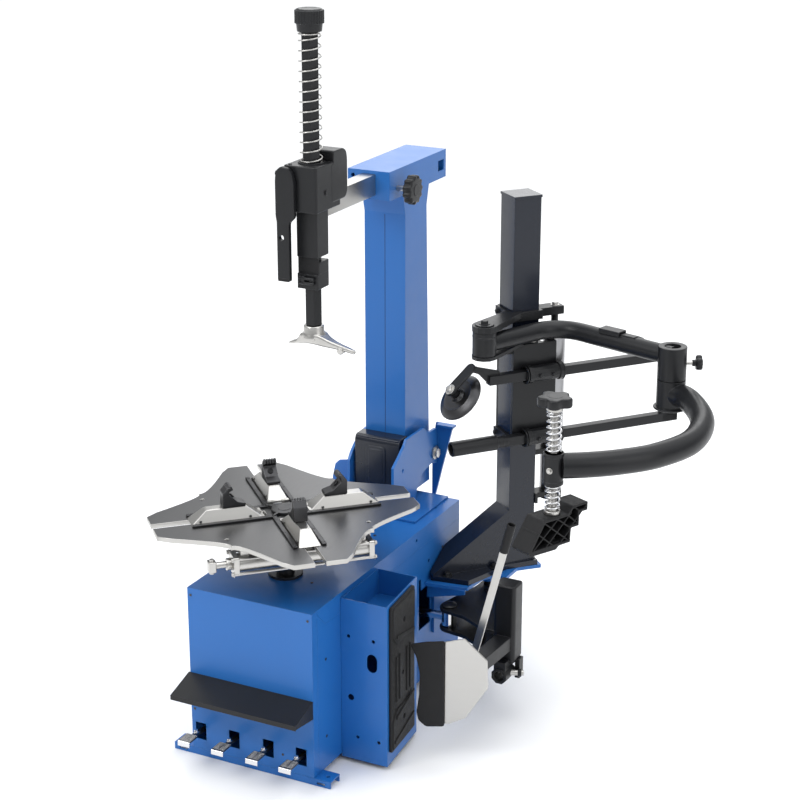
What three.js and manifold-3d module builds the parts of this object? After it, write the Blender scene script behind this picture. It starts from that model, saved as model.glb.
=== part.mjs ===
// Tire changer: cabinet with a clamping turntable, tilting column with a hexagonal mounting shaft,
// bead breaker on the right side and a helper tower with a swinging press arm.
// Millimetres, +Z up, +X to the operator's right, +Y towards the back of the machine.
// The parts are laid out with the turntable axis on X = Y = 0 and the floor at Z = 0.
import * as THREE from "three";
import { mergeVertices } from "three/addons/utils/BufferGeometryUtils.js";
import Module from "manifold-3d";

const wasm = await Module();
wasm.setup();

// ---------------------------------------------------------------- driving dimensions
const GAP = 0.3;
const SHEET = 3;
const CABINET = { halfWidth: 184, front: -188, rear: 672, bottom: 20.3, top: 482 };
const FOOT = { left: -242, right: 231, depth: 50, height: 20, wall: 4 };
const PEDAL_X = [-157, -55, 48, 146];
const PEDAL_PIVOT = { y: -90, z: 62, radius: 5 };
const TABLE = { bottom: 648, top: 660, lobe: 347, waist: 262, slotHalf: 14, slotStart: 50 };
const JAW_ANGLES = [45, 135, 225, 315];
const CLAMP = { offset: 170, halfLength: 182, bottom: 583, top: 630 };
const SPINDLE_RADIUS = 24;
const COLUMN = { halfWidth: 62.5, front: 567.5, rear: 697, bottom: 505, collar: 1327, wall: 5 };
const SLEEVE = { front: 474, rear: 818, bottom: 1384, top: 1462 };
const TILT_PIN = { y: 711, z: 597, radius: 12 };
const ARM = { halfWidth: 20, bottom: 1396, top: 1452, front: 199.6, rear: 720 };
const SHAFT = { x: 0, y: 169, bottom: 1117.3, top: 1867.7, acrossFlats: 41 };
const HELPER = { x: 346, y: 699, turn: -39 };
const TOWER = { half: 40, bottom: 328, top: 1388, wall: 5 };
const SLIDE = { s: 75, half: 13, upper: 900, lower: 716 };
const BARREL = { x: 333, y: 500, radius: 32 };
const SWING = { z: 1019, radius: 25, wall: 4 };
const ELBOW = { x: 816, y: 627, radius: 38, bottom: 880, seam: 957, top: 1047 };
const PRESS = { x: 751, y: -15, z: 920, radius: 31, wall: 4 };
const BREAKER = { pivot: [291, 642], pin: [258, 455], lower: 186, upper: 244, plate: 10 };

// ---------------------------------------------------------------- finishes
const finish = (color, roughness, metalness) => ({ color, roughness, metalness });
const BLUE = finish(0x2f74c8, 0.35, 0.2);
const BLACK = finish(0x2e2f31, 0.45, 0.2);
const RUBBER = finish(0x232427, 0.85, 0);
const STEEL = finish(0xc4c7ca, 0.3, 0.9);
const CHROME = finish(0xd8dadc, 0.12, 1);
const TABLE_STEEL = finish(0x6c6e70, 0.35, 0.85);
const DARK_STEEL = finish(0x3a3b3d, 0.4, 0.7);

// ---------------------------------------------------------------- shape helpers
const V = (x, y, z) => new THREE.Vector3(x, y, z);
const AXIS_X = V(1, 0, 0);
const AXIS_Y = V(0, 1, 0);
const AXIS_Z = V(0, 0, 1);

function solid(geometry) {
  const bare = geometry.clone();
  bare.deleteAttribute("normal");
  bare.deleteAttribute("uv");
  const merged = mergeVertices(bare, 1e-4);
  return new wasm.Manifold(new wasm.Mesh({
    numProp: 3,
    vertProperties: new Float32Array(merged.attributes.position.array),
    triVerts: new Uint32Array(merged.index.array),
  }));
}

const join = (...pieces) => wasm.Manifold.union(pieces.flat());
const cut = (body, ...tools) => wasm.Manifold.difference([body, ...tools.flat()]);

function box(x0, x1, y0, y1, z0, z1) {
  const geometry = new THREE.BoxGeometry(x1 - x0, y1 - y0, z1 - z0);
  return solid(geometry.translate((x0 + x1) / 2, (y0 + y1) / 2, (z0 + z1) / 2));
}

function cone(from, to, r0, r1, segments = 18) {
  const along = to.clone().sub(from);
  const geometry = new THREE.CylinderGeometry(r1, r0, along.length(), segments);
  const turn = new THREE.Quaternion().setFromUnitVectors(AXIS_Y, along.clone().normalize());
  const middle = from.clone().add(to).multiplyScalar(0.5);
  geometry.applyQuaternion(turn);
  return solid(geometry.translate(middle.x, middle.y, middle.z));
}

const rod = (from, to, radius, segments = 18) => cone(from, to, radius, radius, segments);
const post = (x, y, z0, z1, radius, segments = 18) => rod(V(x, y, z0), V(x, y, z1), radius, segments);

// Prism of a 2-D outline: drawn along u and v from the origin, raised along u x v.
function prism(shape, depth, origin, u, v) {
  const geometry = new THREE.ExtrudeGeometry(shape, { depth, bevelEnabled: false, curveSegments: 3 });
  const w = u.clone().cross(v);
  geometry.applyMatrix4(new THREE.Matrix4().makeBasis(u, v, w).setPosition(origin));
  return solid(geometry);
}

// Closed outline through the points, with each corner eased over the given distance.
function outline(points, ease = 0) {
  const shape = new THREE.Shape();
  const corners = points.map(([x, y]) => new THREE.Vector2(x, y));
  corners.forEach((corner, i) => {
    const before = corners[(i + corners.length - 1) % corners.length];
    const after = corners[(i + 1) % corners.length];
    const a = corner.clone().lerp(before, Math.min(0.45, ease / corner.distanceTo(before)));
    const b = corner.clone().lerp(after, Math.min(0.45, ease / corner.distanceTo(after)));
    if (i === 0) shape.moveTo(a.x, a.y);
    else shape.lineTo(a.x, a.y);
    if (ease > 0) shape.quadraticCurveTo(corner.x, corner.y, b.x, b.y);
  });
  shape.closePath();
  return shape;
}

// Outline of a bar with round ends of two radii.
function linkOutline([ax, ay], ra, [bx, by], rb) {
  const heading = Math.atan2(by - ay, bx - ax);
  const spread = Math.acos((ra - rb) / Math.hypot(bx - ax, by - ay));
  const shape = new THREE.Shape();
  shape.absarc(ax, ay, ra, heading + spread, heading + 2 * Math.PI - spread, false);
  shape.absarc(bx, by, rb, heading - spread, heading + spread, false);
  shape.closePath();
  return shape;
}

const plateXY = (points, z0, z1, ease = 0) =>
  prism(outline(points, ease), z1 - z0, V(0, 0, z0), AXIS_X, AXIS_Y);
const plateYZ = (points, x0, x1, ease = 0) =>
  prism(outline(points, ease), x1 - x0, V(x0, 0, 0), AXIS_Y, AXIS_Z);
const plateXZ = (points, y0, y1, ease = 0) =>
  prism(outline(points, ease), y1 - y0, V(0, y1, 0), AXIS_X, AXIS_Z);
const linkXY = (a, ra, b, rb, z0, z1) =>
  prism(linkOutline(a, ra, b, rb), z1 - z0, V(0, 0, z0), AXIS_X, AXIS_Y);

function circleShape(radius) {
  const shape = new THREE.Shape();
  shape.absarc(0, 0, radius, 0, 2 * Math.PI, false);
  return shape;
}

// Wavy round outline of a hand knob.
function lobedShape(radius, depth, lobes) {
  const count = lobes * 4;
  const points = Array.from({ length: count }, (_, i) => {
    const angle = (2 * Math.PI * i) / count;
    const r = radius - depth * (0.5 - 0.5 * Math.cos(lobes * angle));
    return new THREE.Vector2(r * Math.cos(angle), r * Math.sin(angle));
  });
  return new THREE.Shape(points);
}

// Path through the points with straight runs and rounded bends.
function bentPath(points, radius) {
  const path = new THREE.CurvePath();
  let start = points[0].clone();
  for (let i = 1; i < points.length - 1; i += 1) {
    const corner = points[i];
    const a = corner.clone().lerp(points[i - 1], Math.min(0.48, radius / corner.distanceTo(points[i - 1])));
    const b = corner.clone().lerp(points[i + 1], Math.min(0.48, radius / corner.distanceTo(points[i + 1])));
    path.add(new THREE.LineCurve3(start, a));
    path.add(new THREE.QuadraticBezierCurve3(a, corner.clone(), b));
    start = b;
  }
  path.add(new THREE.LineCurve3(start, points[points.length - 1].clone()));
  return path;
}

function sweep(path, radius, steps, sides = 16) {
  const shape = circleShape(radius);
  const geometry = new THREE.ExtrudeGeometry(shape, {
    steps, extrudePath: path, bevelEnabled: false, curveSegments: sides,
  });
  return solid(geometry);
}

class Helix extends THREE.Curve {
  constructor(x, y, z0, z1, radius, turns) {
    super();
    Object.assign(this, { x, y, z0, z1, radius, turns });
  }

  getPoint(t, target = new THREE.Vector3()) {
    const angle = 2 * Math.PI * this.turns * t;
    return target.set(
      this.x + this.radius * Math.cos(angle),
      this.y + this.radius * Math.sin(angle),
      this.z0 + (this.z1 - this.z0) * t,
    );
  }
}

const coil = (x, y, z0, z1, radius, turns, wire) =>
  sweep(new Helix(x, y, z0, z1, radius, turns), wire, turns * 8, 2);

// ---------------------------------------------------------------- assembly helpers
const machine = new THREE.Group();
machine.name = "tire_changer";
const helper = new THREE.Group();
helper.name = "helper_frame";
helper.position.set(HELPER.x, HELPER.y, 0);
helper.rotation.z = THREE.MathUtils.degToRad(HELPER.turn);
machine.add(helper);
const table = new THREE.Group();
table.name = "table_frame";
machine.add(table);

function add(parent, name, body, look) {
  const mesh = body.getMesh();
  const geometry = new THREE.BufferGeometry();
  geometry.setAttribute("position", new THREE.BufferAttribute(new Float32Array(mesh.vertProperties), 3));
  geometry.setIndex(new THREE.BufferAttribute(new Uint32Array(mesh.triVerts), 1));
  geometry.computeVertexNormals();
  const part = new THREE.Mesh(geometry, new THREE.MeshStandardMaterial(look));
  part.name = name;
  parent.add(part);
  return part;
}

// ---------------------------------------------------------------- feet and cabinet
function foot(y0, slots) {
  const y1 = y0 + FOOT.depth;
  const channel = cut(
    box(FOOT.left, FOOT.right, y0, y1, 0, FOOT.height),
    box(FOOT.left - 1, FOOT.right + 1, y0 + FOOT.wall, y1 - FOOT.wall, -1, FOOT.height - FOOT.wall),
    [FOOT.left + 28, FOOT.right - 20].map((x) => post(x, y0 + 25, 10, 30, 6, 12)),
  );
  return cut(channel, slots.map((x) => box(x - 12, x + 12, y0 - 1, y0 + 6, 4, 11)));
}

add(machine, "front_foot", foot(CABINET.front, [FOOT.left + 28, FOOT.right - 28]), BLUE);
add(machine, "rear_foot", foot(CABINET.rear - FOOT.depth, []), BLUE);

const RETURN_EDGE = -162.6;
const SKIRT_BOTTOM = 427;

function cabinetShell() {
  const { halfWidth: w, rear, bottom } = CABINET;
  const side = [
    [RETURN_EDGE, bottom], [rear, bottom], [rear, SKIRT_BOTTOM - 0.4],
    [RETURN_EDGE + 44.4, SKIRT_BOTTOM - 0.4], [RETURN_EDGE, SKIRT_BOTTOM + 43.4],
  ];
  const walls = join(
    plateYZ(side, w - SHEET, w),
    plateYZ(side, -w, SHEET - w),
    box(-w, w, RETURN_EDGE, rear, bottom, bottom + SHEET),
    box(-w, w, rear - SHEET, rear, bottom, SKIRT_BOTTOM - 0.4),
    box(-w + SHEET + 0.4, w - SHEET - 0.4, rear - SHEET, rear, SKIRT_BOTTOM - 5, CABINET.top - SHEET - 0.4),
  );
  return cut(
    walls,
    box(w - 9, w + 6, 413, 485, 178, 298),
    box(w - 9, w + 6, 413, 428, 290, 332),
    rod(V(w - 9, 475, 370), V(w + 6, 475, 370), 6, 12),
  );
}

function frontPanel() {
  const { halfWidth: w, front, bottom, top } = CABINET;
  const sheet = join(
    box(-w, w, front, front + SHEET, bottom, top),
    box(w - SHEET, w, front + SHEET - 0.1, RETURN_EDGE - 0.4, bottom, top - SHEET - 0.4),
    box(-w, SHEET - w, front + SHEET - 0.1, RETURN_EDGE - 0.4, bottom, top - SHEET - 0.4),
  );
  return cut(sheet, PEDAL_X.map((x) => box(x - 16, x + 16, front - 2, front + 8, 48, 97)));
}

function topPanel() {
  const { halfWidth: w, front, rear, top } = CABINET;
  const skirt = [
    [RETURN_EDGE, top - 1], [rear, top - 1], [rear, SKIRT_BOTTOM],
    [RETURN_EDGE + 44.4, SKIRT_BOTTOM], [RETURN_EDGE, SKIRT_BOTTOM + 44],
  ];
  const sheet = join(
    box(-w, w, front + SHEET + GAP, rear, top - SHEET, top),
    plateYZ(skirt, w - SHEET, w),
    plateYZ(skirt, -w, SHEET - w),
  );
  return cut(
    sheet,
    post(0, 0, top - 10, top + 5, 45.5, 28),
    box(138, 154, 583, 589, top - 10, top + 5),
    rod(V(w - 9, 398, 459), V(w + 6, 398, 459), 5, 12),
  );
}

add(machine, "cabinet_shell", cabinetShell(), BLUE);
add(machine, "front_panel", frontPanel(), BLUE);
add(machine, "top_panel", topPanel(), BLUE);

// ---------------------------------------------------------------- side box and its pad
const BOX_FACE = { a: [319, -40], b: [300.1, 167] };

function bumperBox() {
  const x0 = CABINET.halfWidth + 0.6;
  const outer = [[x0, -40], BOX_FACE.a, BOX_FACE.b, [x0, 167]];
  const inner = [[x0 + 3, -37], [315.7, -37], [297.3, 164], [x0 + 3, 164]];
  const hole = (x, z, radius) => rod(V(x, -45, z), V(x, -30, z), radius, 12);
  return cut(
    plateXY(outer, 12, 468),
    plateXY(inner, 11, 395),
    plateXY(inner, 398, 469),
    hole(275, 290, 15),
    hole(275, 312, 15),
    box(260, 290, -45, -30, 290, 312),
    [[207, 365, 5], [279, 364, 5], [213, 191, 9], [232, 79, 5], [294, 77, 5]].map((h) => hole(...h)),
  );
}

function bumperPad() {
  const along = V(BOX_FACE.b[0] - BOX_FACE.a[0], BOX_FACE.b[1] - BOX_FACE.a[1], 0).normalize();
  const out = along.clone().cross(AXIS_Z);
  const origin = V(BOX_FACE.a[0], BOX_FACE.a[1], 0).addScaledVector(out, GAP);
  const slab = (points, depth, ease) => prism(outline(points, ease), depth, origin, along, AXIS_Z);
  const place = (u, z, d) => origin.clone().addScaledVector(along, u).addScaledVector(out, d).setZ(z);
  const pad = join(
    slab([[10, 48], [172, 48], [172, 462], [10, 462]], 8, 10),
    slab([[16, 54], [166, 54], [166, 135], [140, 161], [42, 161], [16, 135]], 14.5, 6),
    slab([[16, 456], [166, 456], [166, 358], [140, 332], [42, 332], [16, 358]], 14.5, 6),
  );
  const holes = [120, 247, 400].map((z) => rod(place(91, z, -2), place(91, z, 12), 6, 12));
  return cut(pad, holes);
}

add(machine, "bumper_box", bumperBox(), BLUE);
add(machine, "bumper_pad", bumperPad(), RUBBER);

// ---------------------------------------------------------------- pedals
function pedalGuard() {
  const back = CABINET.front - 0.4;
  const profile = [
    [back, 200], [back, 240], [-279, 213], [-279, 200], [-276, 200],
    [-276, 210.8], [back - 3, 236.5], [back - 3, 200],
  ];
  const gusset = [[back, 190], [back, 240], [-279, 213], [-279, 203]];
  return join(
    plateYZ(profile, -188, 184),
    plateYZ(gusset, -188, -185),
    plateYZ(gusset, 181, 184),
  );
}

function pedal(x) {
  const { y, z, radius } = PEDAL_PIVOT;
  const body = join(
    rod(V(x - 10, y, z), V(x + 10, y, z), 11, 12),
    plateYZ([[-90, 55], [-90, 69], [-262, 84], [-262, 76]], x - 4, x + 4),
    box(x - 18, x + 18, -271, -229, 79, 83),
    box(x - 18, x + 18, -274, -270, 70, 83),
    post(x, -210, 76, 88, 6, 6),
  );
  return cut(body, rod(V(x - 12, y, z), V(x + 12, y, z), radius + 0.2, 16));
}

add(machine, "pedal_guard", pedalGuard(), BLACK);
PEDAL_X.forEach((x, i) => add(machine, `pedal_${i + 1}`, pedal(x), STEEL));
const SHAFT_END = CABINET.halfWidth - SHEET - 0.4;
add(
  machine,
  "pedal_shaft",
  rod(V(-SHAFT_END, PEDAL_PIVOT.y, PEDAL_PIVOT.z), V(SHAFT_END, PEDAL_PIVOT.y, PEDAL_PIVOT.z), 5, 16),
  STEEL,
);

// ---------------------------------------------------------------- turntable drive
function gearMotor() {
  const under = CABINET.top - SHEET - 0.4;
  const body = join(
    box(-90, 90, -90, 90, 320, 468),
    box(-110, 110, -110, 110, 464, under),
    post(0, 0, under - 2, 489, 45, 28),
    rod(V(0, 88, 385), V(0, 330, 385), 70, 28),
    box(-35, 35, 150, 230, 440, 468),
  );
  return cut(body, post(0, 0, 400, 492, SPINDLE_RADIUS + 0.6, 16));
}

add(machine, "gear_motor", gearMotor(), DARK_STEEL);
add(
  table,
  "turntable_shaft",
  join(post(0, 0, 400.3, 640, SPINDLE_RADIUS, 16), post(0, 0, 632, TABLE.bottom - GAP, 60, 18)),
  DARK_STEEL,
);

// ---------------------------------------------------------------- turntable
const polar = (radius, degrees) => {
  const angle = THREE.MathUtils.degToRad(degrees);
  return [radius * Math.cos(angle), radius * Math.sin(angle)];
};

function tableOutline() {
  const shape = new THREE.Shape();
  JAW_ANGLES.forEach((angle, i) => {
    const entry = polar(330, angle - 16);
    if (i === 0) shape.moveTo(...entry);
    shape.lineTo(...polar(TABLE.lobe / Math.cos(THREE.MathUtils.degToRad(11)), angle - 11));
    shape.lineTo(...polar(TABLE.lobe / Math.cos(THREE.MathUtils.degToRad(11)), angle + 11));
    shape.lineTo(...polar(330, angle + 16));
    const middle = polar(TABLE.waist - 22, angle + 45);
    shape.bezierCurveTo(
      ...polar(275, angle + 28), ...middle, ...polar(TABLE.waist, angle + 45),
    );
    shape.bezierCurveTo(...middle, ...polar(275, angle + 62), ...polar(330, angle + 74));
  });
  shape.closePath();
  return shape;
}

function turntablePlate() {
  const disc = prism(tableOutline(), TABLE.top - TABLE.bottom, V(0, 0, TABLE.bottom), AXIS_X, AXIS_Y);
  const slots = JAW_ANGLES.map((angle) => {
    const slot = new THREE.BoxGeometry(310, 2 * TABLE.slotHalf, 30);
    slot.translate(TABLE.slotStart + 155, 0, 654);
    return solid(slot.rotateZ(THREE.MathUtils.degToRad(angle)));
  });
  const holes = [[232, 8], [232, 82], [232, 188], [232, 262]].map(([radius, angle]) =>
    post(...polar(radius, angle), 640, 670, 5, 12));
  return cut(disc, slots, holes);
}

function clampCylinder(side) {
  const { offset, halfLength, bottom, top } = CLAMP;
  const lay = (u0, u1, v0, v1, z0, z1) => {
    const geometry = new THREE.BoxGeometry(u1 - u0, v1 - v0, z1 - z0);
    geometry.translate((u0 + u1) / 2, (side * (v0 + v1)) / 2, (z0 + z1) / 2);
    return solid(geometry.rotateZ(Math.PI / 4));
  };
  const bar = (u0, u1, v, z, radius) => {
    const direction = new THREE.Vector3(1, 1, 0).normalize();
    const across = new THREE.Vector3(-1, 1, 0).normalize().multiplyScalar(side * v);
    const at = (u) => direction.clone().multiplyScalar(u).add(across).setZ(z);
    return rod(at(u0), at(u1), radius, 8);
  };
  const middle = (bottom + top) / 2;
  return join(
    lay(-halfLength + 6, halfLength - 6, offset - 26, offset + 26, bottom + 3, top),
    lay(-halfLength, -halfLength + 14, offset - 32, offset + 32, bottom, top + 3),
    lay(halfLength - 14, halfLength, offset - 32, offset + 32, bottom, top + 3),
    lay(-162, -142, offset - 18, offset + 18, top - 4, TABLE.bottom - GAP),
    lay(142, 162, offset - 18, offset + 18, top - 4, TABLE.bottom - GAP),
    bar(-halfLength - 5, halfLength + 5, offset - 28, bottom + 6, 4.5),
    bar(-halfLength - 5, halfLength + 5, offset + 28, bottom + 6, 4.5),
    bar(-halfLength - 46, -halfLength + 5, offset, middle, 9),
    lay(-halfLength - 60, -halfLength - 40, offset - 14, offset + 14, middle - 14, middle + 14),
  );
}

function taperedBlock(r0, r1, halfWidth, z0, t0, t1, topHalf, z1) {
  const geometry = new THREE.BoxGeometry(1, 1, 1);
  const position = geometry.attributes.position;
  for (let i = 0; i < position.count; i += 1) {
    const high = position.getZ(i) > 0;
    const outer = position.getX(i) > 0;
    const width = high ? topHalf : halfWidth;
    const near = high ? t0 : r0;
    const far = high ? t1 : r1;
    position.setXYZ(i, outer ? far : near, Math.sign(position.getY(i)) * width, high ? z1 : z0);
  }
  return solid(geometry);
}

function jawSlide() {
  return join(
    taperedBlock(60, 250, 29, TABLE.top + 0.4, 103, 208, 14, 693),
    box(110, 190, -13, 13, 640, TABLE.top + 2),
    box(105, 195, -22, 22, 637, TABLE.bottom - 0.4),
  );
}

function jawGrip() {
  const profile = [
    [105, 693.3], [165, 693.3], [165, 731], [151, 750], [141, 750], [149, 729], [128, 708], [105, 701],
  ];
  const body = plateXZ(profile, -18, 18);
  const notches = [-9, 0, 9].map((y) => box(135, 156, y - 2, y + 2, 744, 752));
  return cut(body, notches);
}

function hubCover() {
  const pieces = [post(0, 0, TABLE.top + GAP, 671, 35, 18)];
  JAW_ANGLES.forEach((angle) => {
    const turn = THREE.MathUtils.degToRad(angle);
    const strip = (v) => {
      const geometry = new THREE.BoxGeometry(219, 12, 8);
      geometry.translate(31 + 109.5, v, TABLE.top + GAP + 4);
      return solid(geometry.rotateZ(turn));
    };
    const web = new THREE.BoxGeometry(34, 7, 8);
    web.translate(36, 0, TABLE.top + GAP + 4);
    pieces.push(strip(37), strip(-37), solid(web.rotateZ(turn + Math.PI / 4)));
  });
  return join(pieces);
}

add(table, "turntable_plate", turntablePlate(), TABLE_STEEL);
add(table, "clamp_cylinder_a", clampCylinder(-1), STEEL);
add(table, "clamp_cylinder_b", clampCylinder(1), STEEL);
add(table, "hub_cover", hubCover(), DARK_STEEL);
JAW_ANGLES.forEach((angle, i) => {
  const slide = add(table, `jaw_slide_${i + 1}`, jawSlide(), STEEL);
  const grip = add(table, `jaw_grip_${i + 1}`, jawGrip(), DARK_STEEL);
  slide.rotation.z = THREE.MathUtils.degToRad(angle);
  grip.rotation.z = THREE.MathUtils.degToRad(angle);
});

// ---------------------------------------------------------------- column
function columnBracket() {
  const floor = CABINET.top + GAP;
  const cheek = [
    [480, floor], [497, 568], [498, 618], [512, 636], [535, 655], [573, 679], [608, 682], [654, 681],
    [700, 668], [735, 640], [741, 597], [725, 560], [661, 530], [640, floor],
  ];
  const outerCheek = [
    [454, floor], [454, 634], [489, 656], [522, 680], [534, 694], [638, 695], [675, 670],
    [722, 668], [736, 640], [741, 597], [725, 560], [690, 570], [633, 560], [597, 521], [590, floor],
  ];
  const gusset = [
    [66, 440], [72, 440], [83, 482], [95, 533], [128, 665], [138, 674], [138, 680], [77, 680], [66, 600],
  ];
  const wing = [
    [-154, floor], [-154, 543], [-145, 583], [-134, 594], [-109, 599], [-80, 606], [-80, floor],
  ];
  const body = join(
    plateYZ(outerCheek, 77, 85),
    plateYZ(cheek, -85, -77),
    box(-154, 150, 454, 668, floor, floor + 6),
    plateXZ(gusset, 735, 743),
    box(86, 138, 719, 743, 674, 680),
    plateXZ(wing, 536, 544),
  );
  return cut(
    body,
    rod(V(-90, TILT_PIN.y, TILT_PIN.z), V(90, TILT_PIN.y, TILT_PIN.z), TILT_PIN.radius + 0.3, 18),
    rod(V(70, 509, 609), V(90, 509, 609), 6, 12),
  );
}

function tiltPin() {
  const at = (x) => V(x, TILT_PIN.y, TILT_PIN.z);
  return join(
    rod(at(-92), at(96), TILT_PIN.radius, 18),
    rod(at(85.4), at(90), 20, 18),
    rod(at(-92), at(-85.4), 18, 6),
    rod(at(90), at(98), 14, 6),
  );
}

function column() {
  const { halfWidth: w, front, rear, bottom, collar, wall } = COLUMN;
  const at = (x) => V(x, TILT_PIN.y, TILT_PIN.z);
  const flare = [
    [front, collar], [rear, collar], [rear + 15, SLEEVE.bottom + 1], [front - 15, SLEEVE.bottom + 1],
  ];
  const hollow = [
    [front + wall, bottom - 1], [rear + 27 - wall, bottom - 1],
    [rear - wall, collar], [rear - wall, SLEEVE.bottom - 4], [front + wall, SLEEVE.bottom - 4],
  ];
  const body = join(
    plateYZ([[front, bottom], [rear + 27, bottom], [rear, collar + 5], [front, collar + 5]], -w, w),
    plateYZ(flare, -w, w),
    box(-w, w, SLEEVE.front, SLEEVE.rear, SLEEVE.bottom, SLEEVE.top),
    rod(at(-w), at(w), 28, 18),
  );
  return cut(
    body,
    plateYZ(hollow, wall - w, w - wall),
    box(-20.4, 20.4, SLEEVE.front - 4, SLEEVE.rear + 12, ARM.bottom - 0.4, ARM.top + 0.4),
    box(wall - w, w - wall, SLEEVE.front + 12, SLEEVE.rear - 12, SLEEVE.bottom + wall, SLEEVE.top - wall),
    rod(at(-w - 1), at(w + 1), TILT_PIN.radius + 0.3, 18),
    box(w - 10, w + 2, 769, 805, 1406, 1436),
    rod(V(-47, SLEEVE.front - 2, 1445), V(-47, SLEEVE.front + 14, 1445), 6, 12),
    rod(V(w - 10, 521, 1411), V(w + 2, 521, 1411), 6.3, 12),
  );
}

function columnCover() {
  const rear = COLUMN.front - GAP;
  const profile = [[513, 531], [rear, 531], [rear, 693], [526, 693], [517, 688], [513, 678]];
  return join(
    plateYZ(profile, -70, 70),
    plateXZ([[-34, 545], [28, 545], [28, 667], [-34, 667]], 510.5, 514, 8),
  );
}

function handKnob(boltFrom, boltTo, bolt, faceFrom, faceTo, radius, lobes) {
  const along = faceTo.clone().sub(faceFrom);
  const w = along.clone().normalize();
  const u = Math.abs(w.z) > 0.9 ? AXIS_X.clone() : AXIS_Z.clone();
  const v = w.clone().cross(u);
  return join(
    rod(boltFrom, boltTo, bolt, 12),
    prism(lobedShape(radius, radius * 0.16, lobes), along.length(), faceFrom, u, v),
  );
}

add(machine, "column_bracket", columnBracket(), BLUE);
add(machine, "tilt_pin", tiltPin(), STEEL);
add(machine, "column", column(), BLUE);
add(machine, "column_cover", columnCover(), BLACK);
add(
  machine,
  "arm_lock_knob",
  join(
    handKnob(V(52, 521, 1411), V(96, 521, 1411), 6, V(95, 521, 1411), V(120, 521, 1411), 40, 6),
    rod(V(84, 521, 1411), V(96, 521, 1411), 17, 16),
  ),
  BLACK,
);

// ---------------------------------------------------------------- horizontal arm and mounting head
const hexRadius = (acrossFlats) => acrossFlats / Math.sqrt(3);

function headHousing() {
  const body = join(
    plateXY([[45, 112], [-18, 112], [-50, 138], [-50, 239], [45, 239]], 1424, 1541),
    plateXY([[45, 112], [-50, 112], [-50, 145], [45, 145]], 1506, 1541),
    plateYZ([[190, 1480], [274, 1480], [274, 1552], [262, 1568], [190, 1568]], -44, 45),
    box(-30, 30, 139, ARM.front - 0.4, 1218, 1430),
    box(-16, 16, 131, 141, 1232, 1252),
  );
  return cut(
    body,
    post(SHAFT.x, SHAFT.y, 1200, 1600, hexRadius(SHAFT.acrossFlats + 0.6), 6),
    box(-20.6, 20.6, ARM.front - 0.4, 300, 1390, ARM.top + 0.4),
    post(SHAFT.x, SHAFT.y, 1541, 1600, 33, 18),
    box(-31, 31, 130, 146, 1259, 1288),
  );
}

function lockHandle() {
  const lever = plateXZ([
    [-65, 1533], [-65, 1412], [-62, 1400], [-62, 1243], [-36, 1243], [-36, 1400], [-20, 1416], [-20, 1533],
  ], 96.3, 111.7, 2);
  return cut(
    join(lever, rod(V(-65, 104, 1533), V(-20, 104, 1533), 7.7, 16)),
    rod(V(-49, 90, 1357), V(-49, 120, 1357), 7, 12),
  );
}

function mountHead() {
  const wing = [
    [-74, 1054], [-77, 1063], [-44, 1086], [-24, 1098], [24, 1098], [44, 1082], [112, 1064],
    [118, 1054], [112, 1046], [64, 1042], [40, 1035], [16, 1040], [-30, 1056],
  ];
  return join(
    cone(V(0, 169, 1070), V(0, 169, 1098), 34, 28, 18),
    post(0, 169, 1096, 1117, 28, 18),
    plateXZ(wing, 150, 188, 3),
    rod(V(96, 146, 1052), V(96, 192, 1052), 9, 12),
  );
}

add(
  machine,
  "horizontal_arm",
  box(-ARM.halfWidth, ARM.halfWidth, ARM.front, ARM.rear, ARM.bottom, ARM.top),
  STEEL,
);
add(machine, "head_housing", headHousing(), BLACK);
add(machine, "lock_handle", lockHandle(), BLACK);
add(
  machine,
  "hex_shaft",
  post(SHAFT.x, SHAFT.y, SHAFT.bottom, SHAFT.top, hexRadius(SHAFT.acrossFlats), 6),
  DARK_STEEL,
);
add(
  machine,
  "shaft_cap",
  join(
    prism(lobedShape(37, 2.5, 12), 34, V(SHAFT.x, SHAFT.y, 1888), AXIS_X, AXIS_Y),
    cone(V(SHAFT.x, SHAFT.y, 1868), V(SHAFT.x, SHAFT.y, 1889), 31, 33, 18),
    post(SHAFT.x, SHAFT.y, 1920, 1925, 32, 18),
  ),
  BLACK,
);
add(machine, "shaft_spring", coil(SHAFT.x, SHAFT.y, 1544, 1865, 27.5, 13, 2), STEEL);
add(machine, "mount_head", mountHead(), STEEL);

// ---------------------------------------------------------------- helper tower
const toHelper = new THREE.Matrix4();
helper.updateMatrix();
toHelper.copy(helper.matrix).invert();

function worldBoxInHelper(x0, x1, y0, y1, z0, z1) {
  const geometry = new THREE.BoxGeometry(x1 - x0, y1 - y0, z1 - z0);
  geometry.translate((x0 + x1) / 2, (y0 + y1) / 2, (z0 + z1) / 2);
  return solid(geometry.applyMatrix4(toHelper));
}

function towerBracket() {
  const wall = CABINET.halfWidth + 0.5;
  const deck = [
    [wall, 448], [251, 458], [306, 471], [314, 553], [333, 586], [372, 582],
    [374, 660], [426, 712], [345, 790], [wall, 672],
  ];
  const rib = [[wall, 262], [wall, 304], [300, 304], [300, 292]];
  const lug = [[wall, 600], [wall, 672], [300, 672], [323, 650], [318, 618], [296, 608]];
  return cut(
    join(
      plateXY(deck, 303, 313, 4),
      box(wall, wall + 7, 495, 672, 140, 304),
      plateXZ(rib, 464, 470),
      plateXZ(rib, 560, 566),
      plateXY(lug, 146, 156, 4),
      post(...BREAKER.pivot, 270, 305, 24, 18),
    ),
    post(...BREAKER.pivot, 140, 320, 12.4, 18),
  );
}

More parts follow.
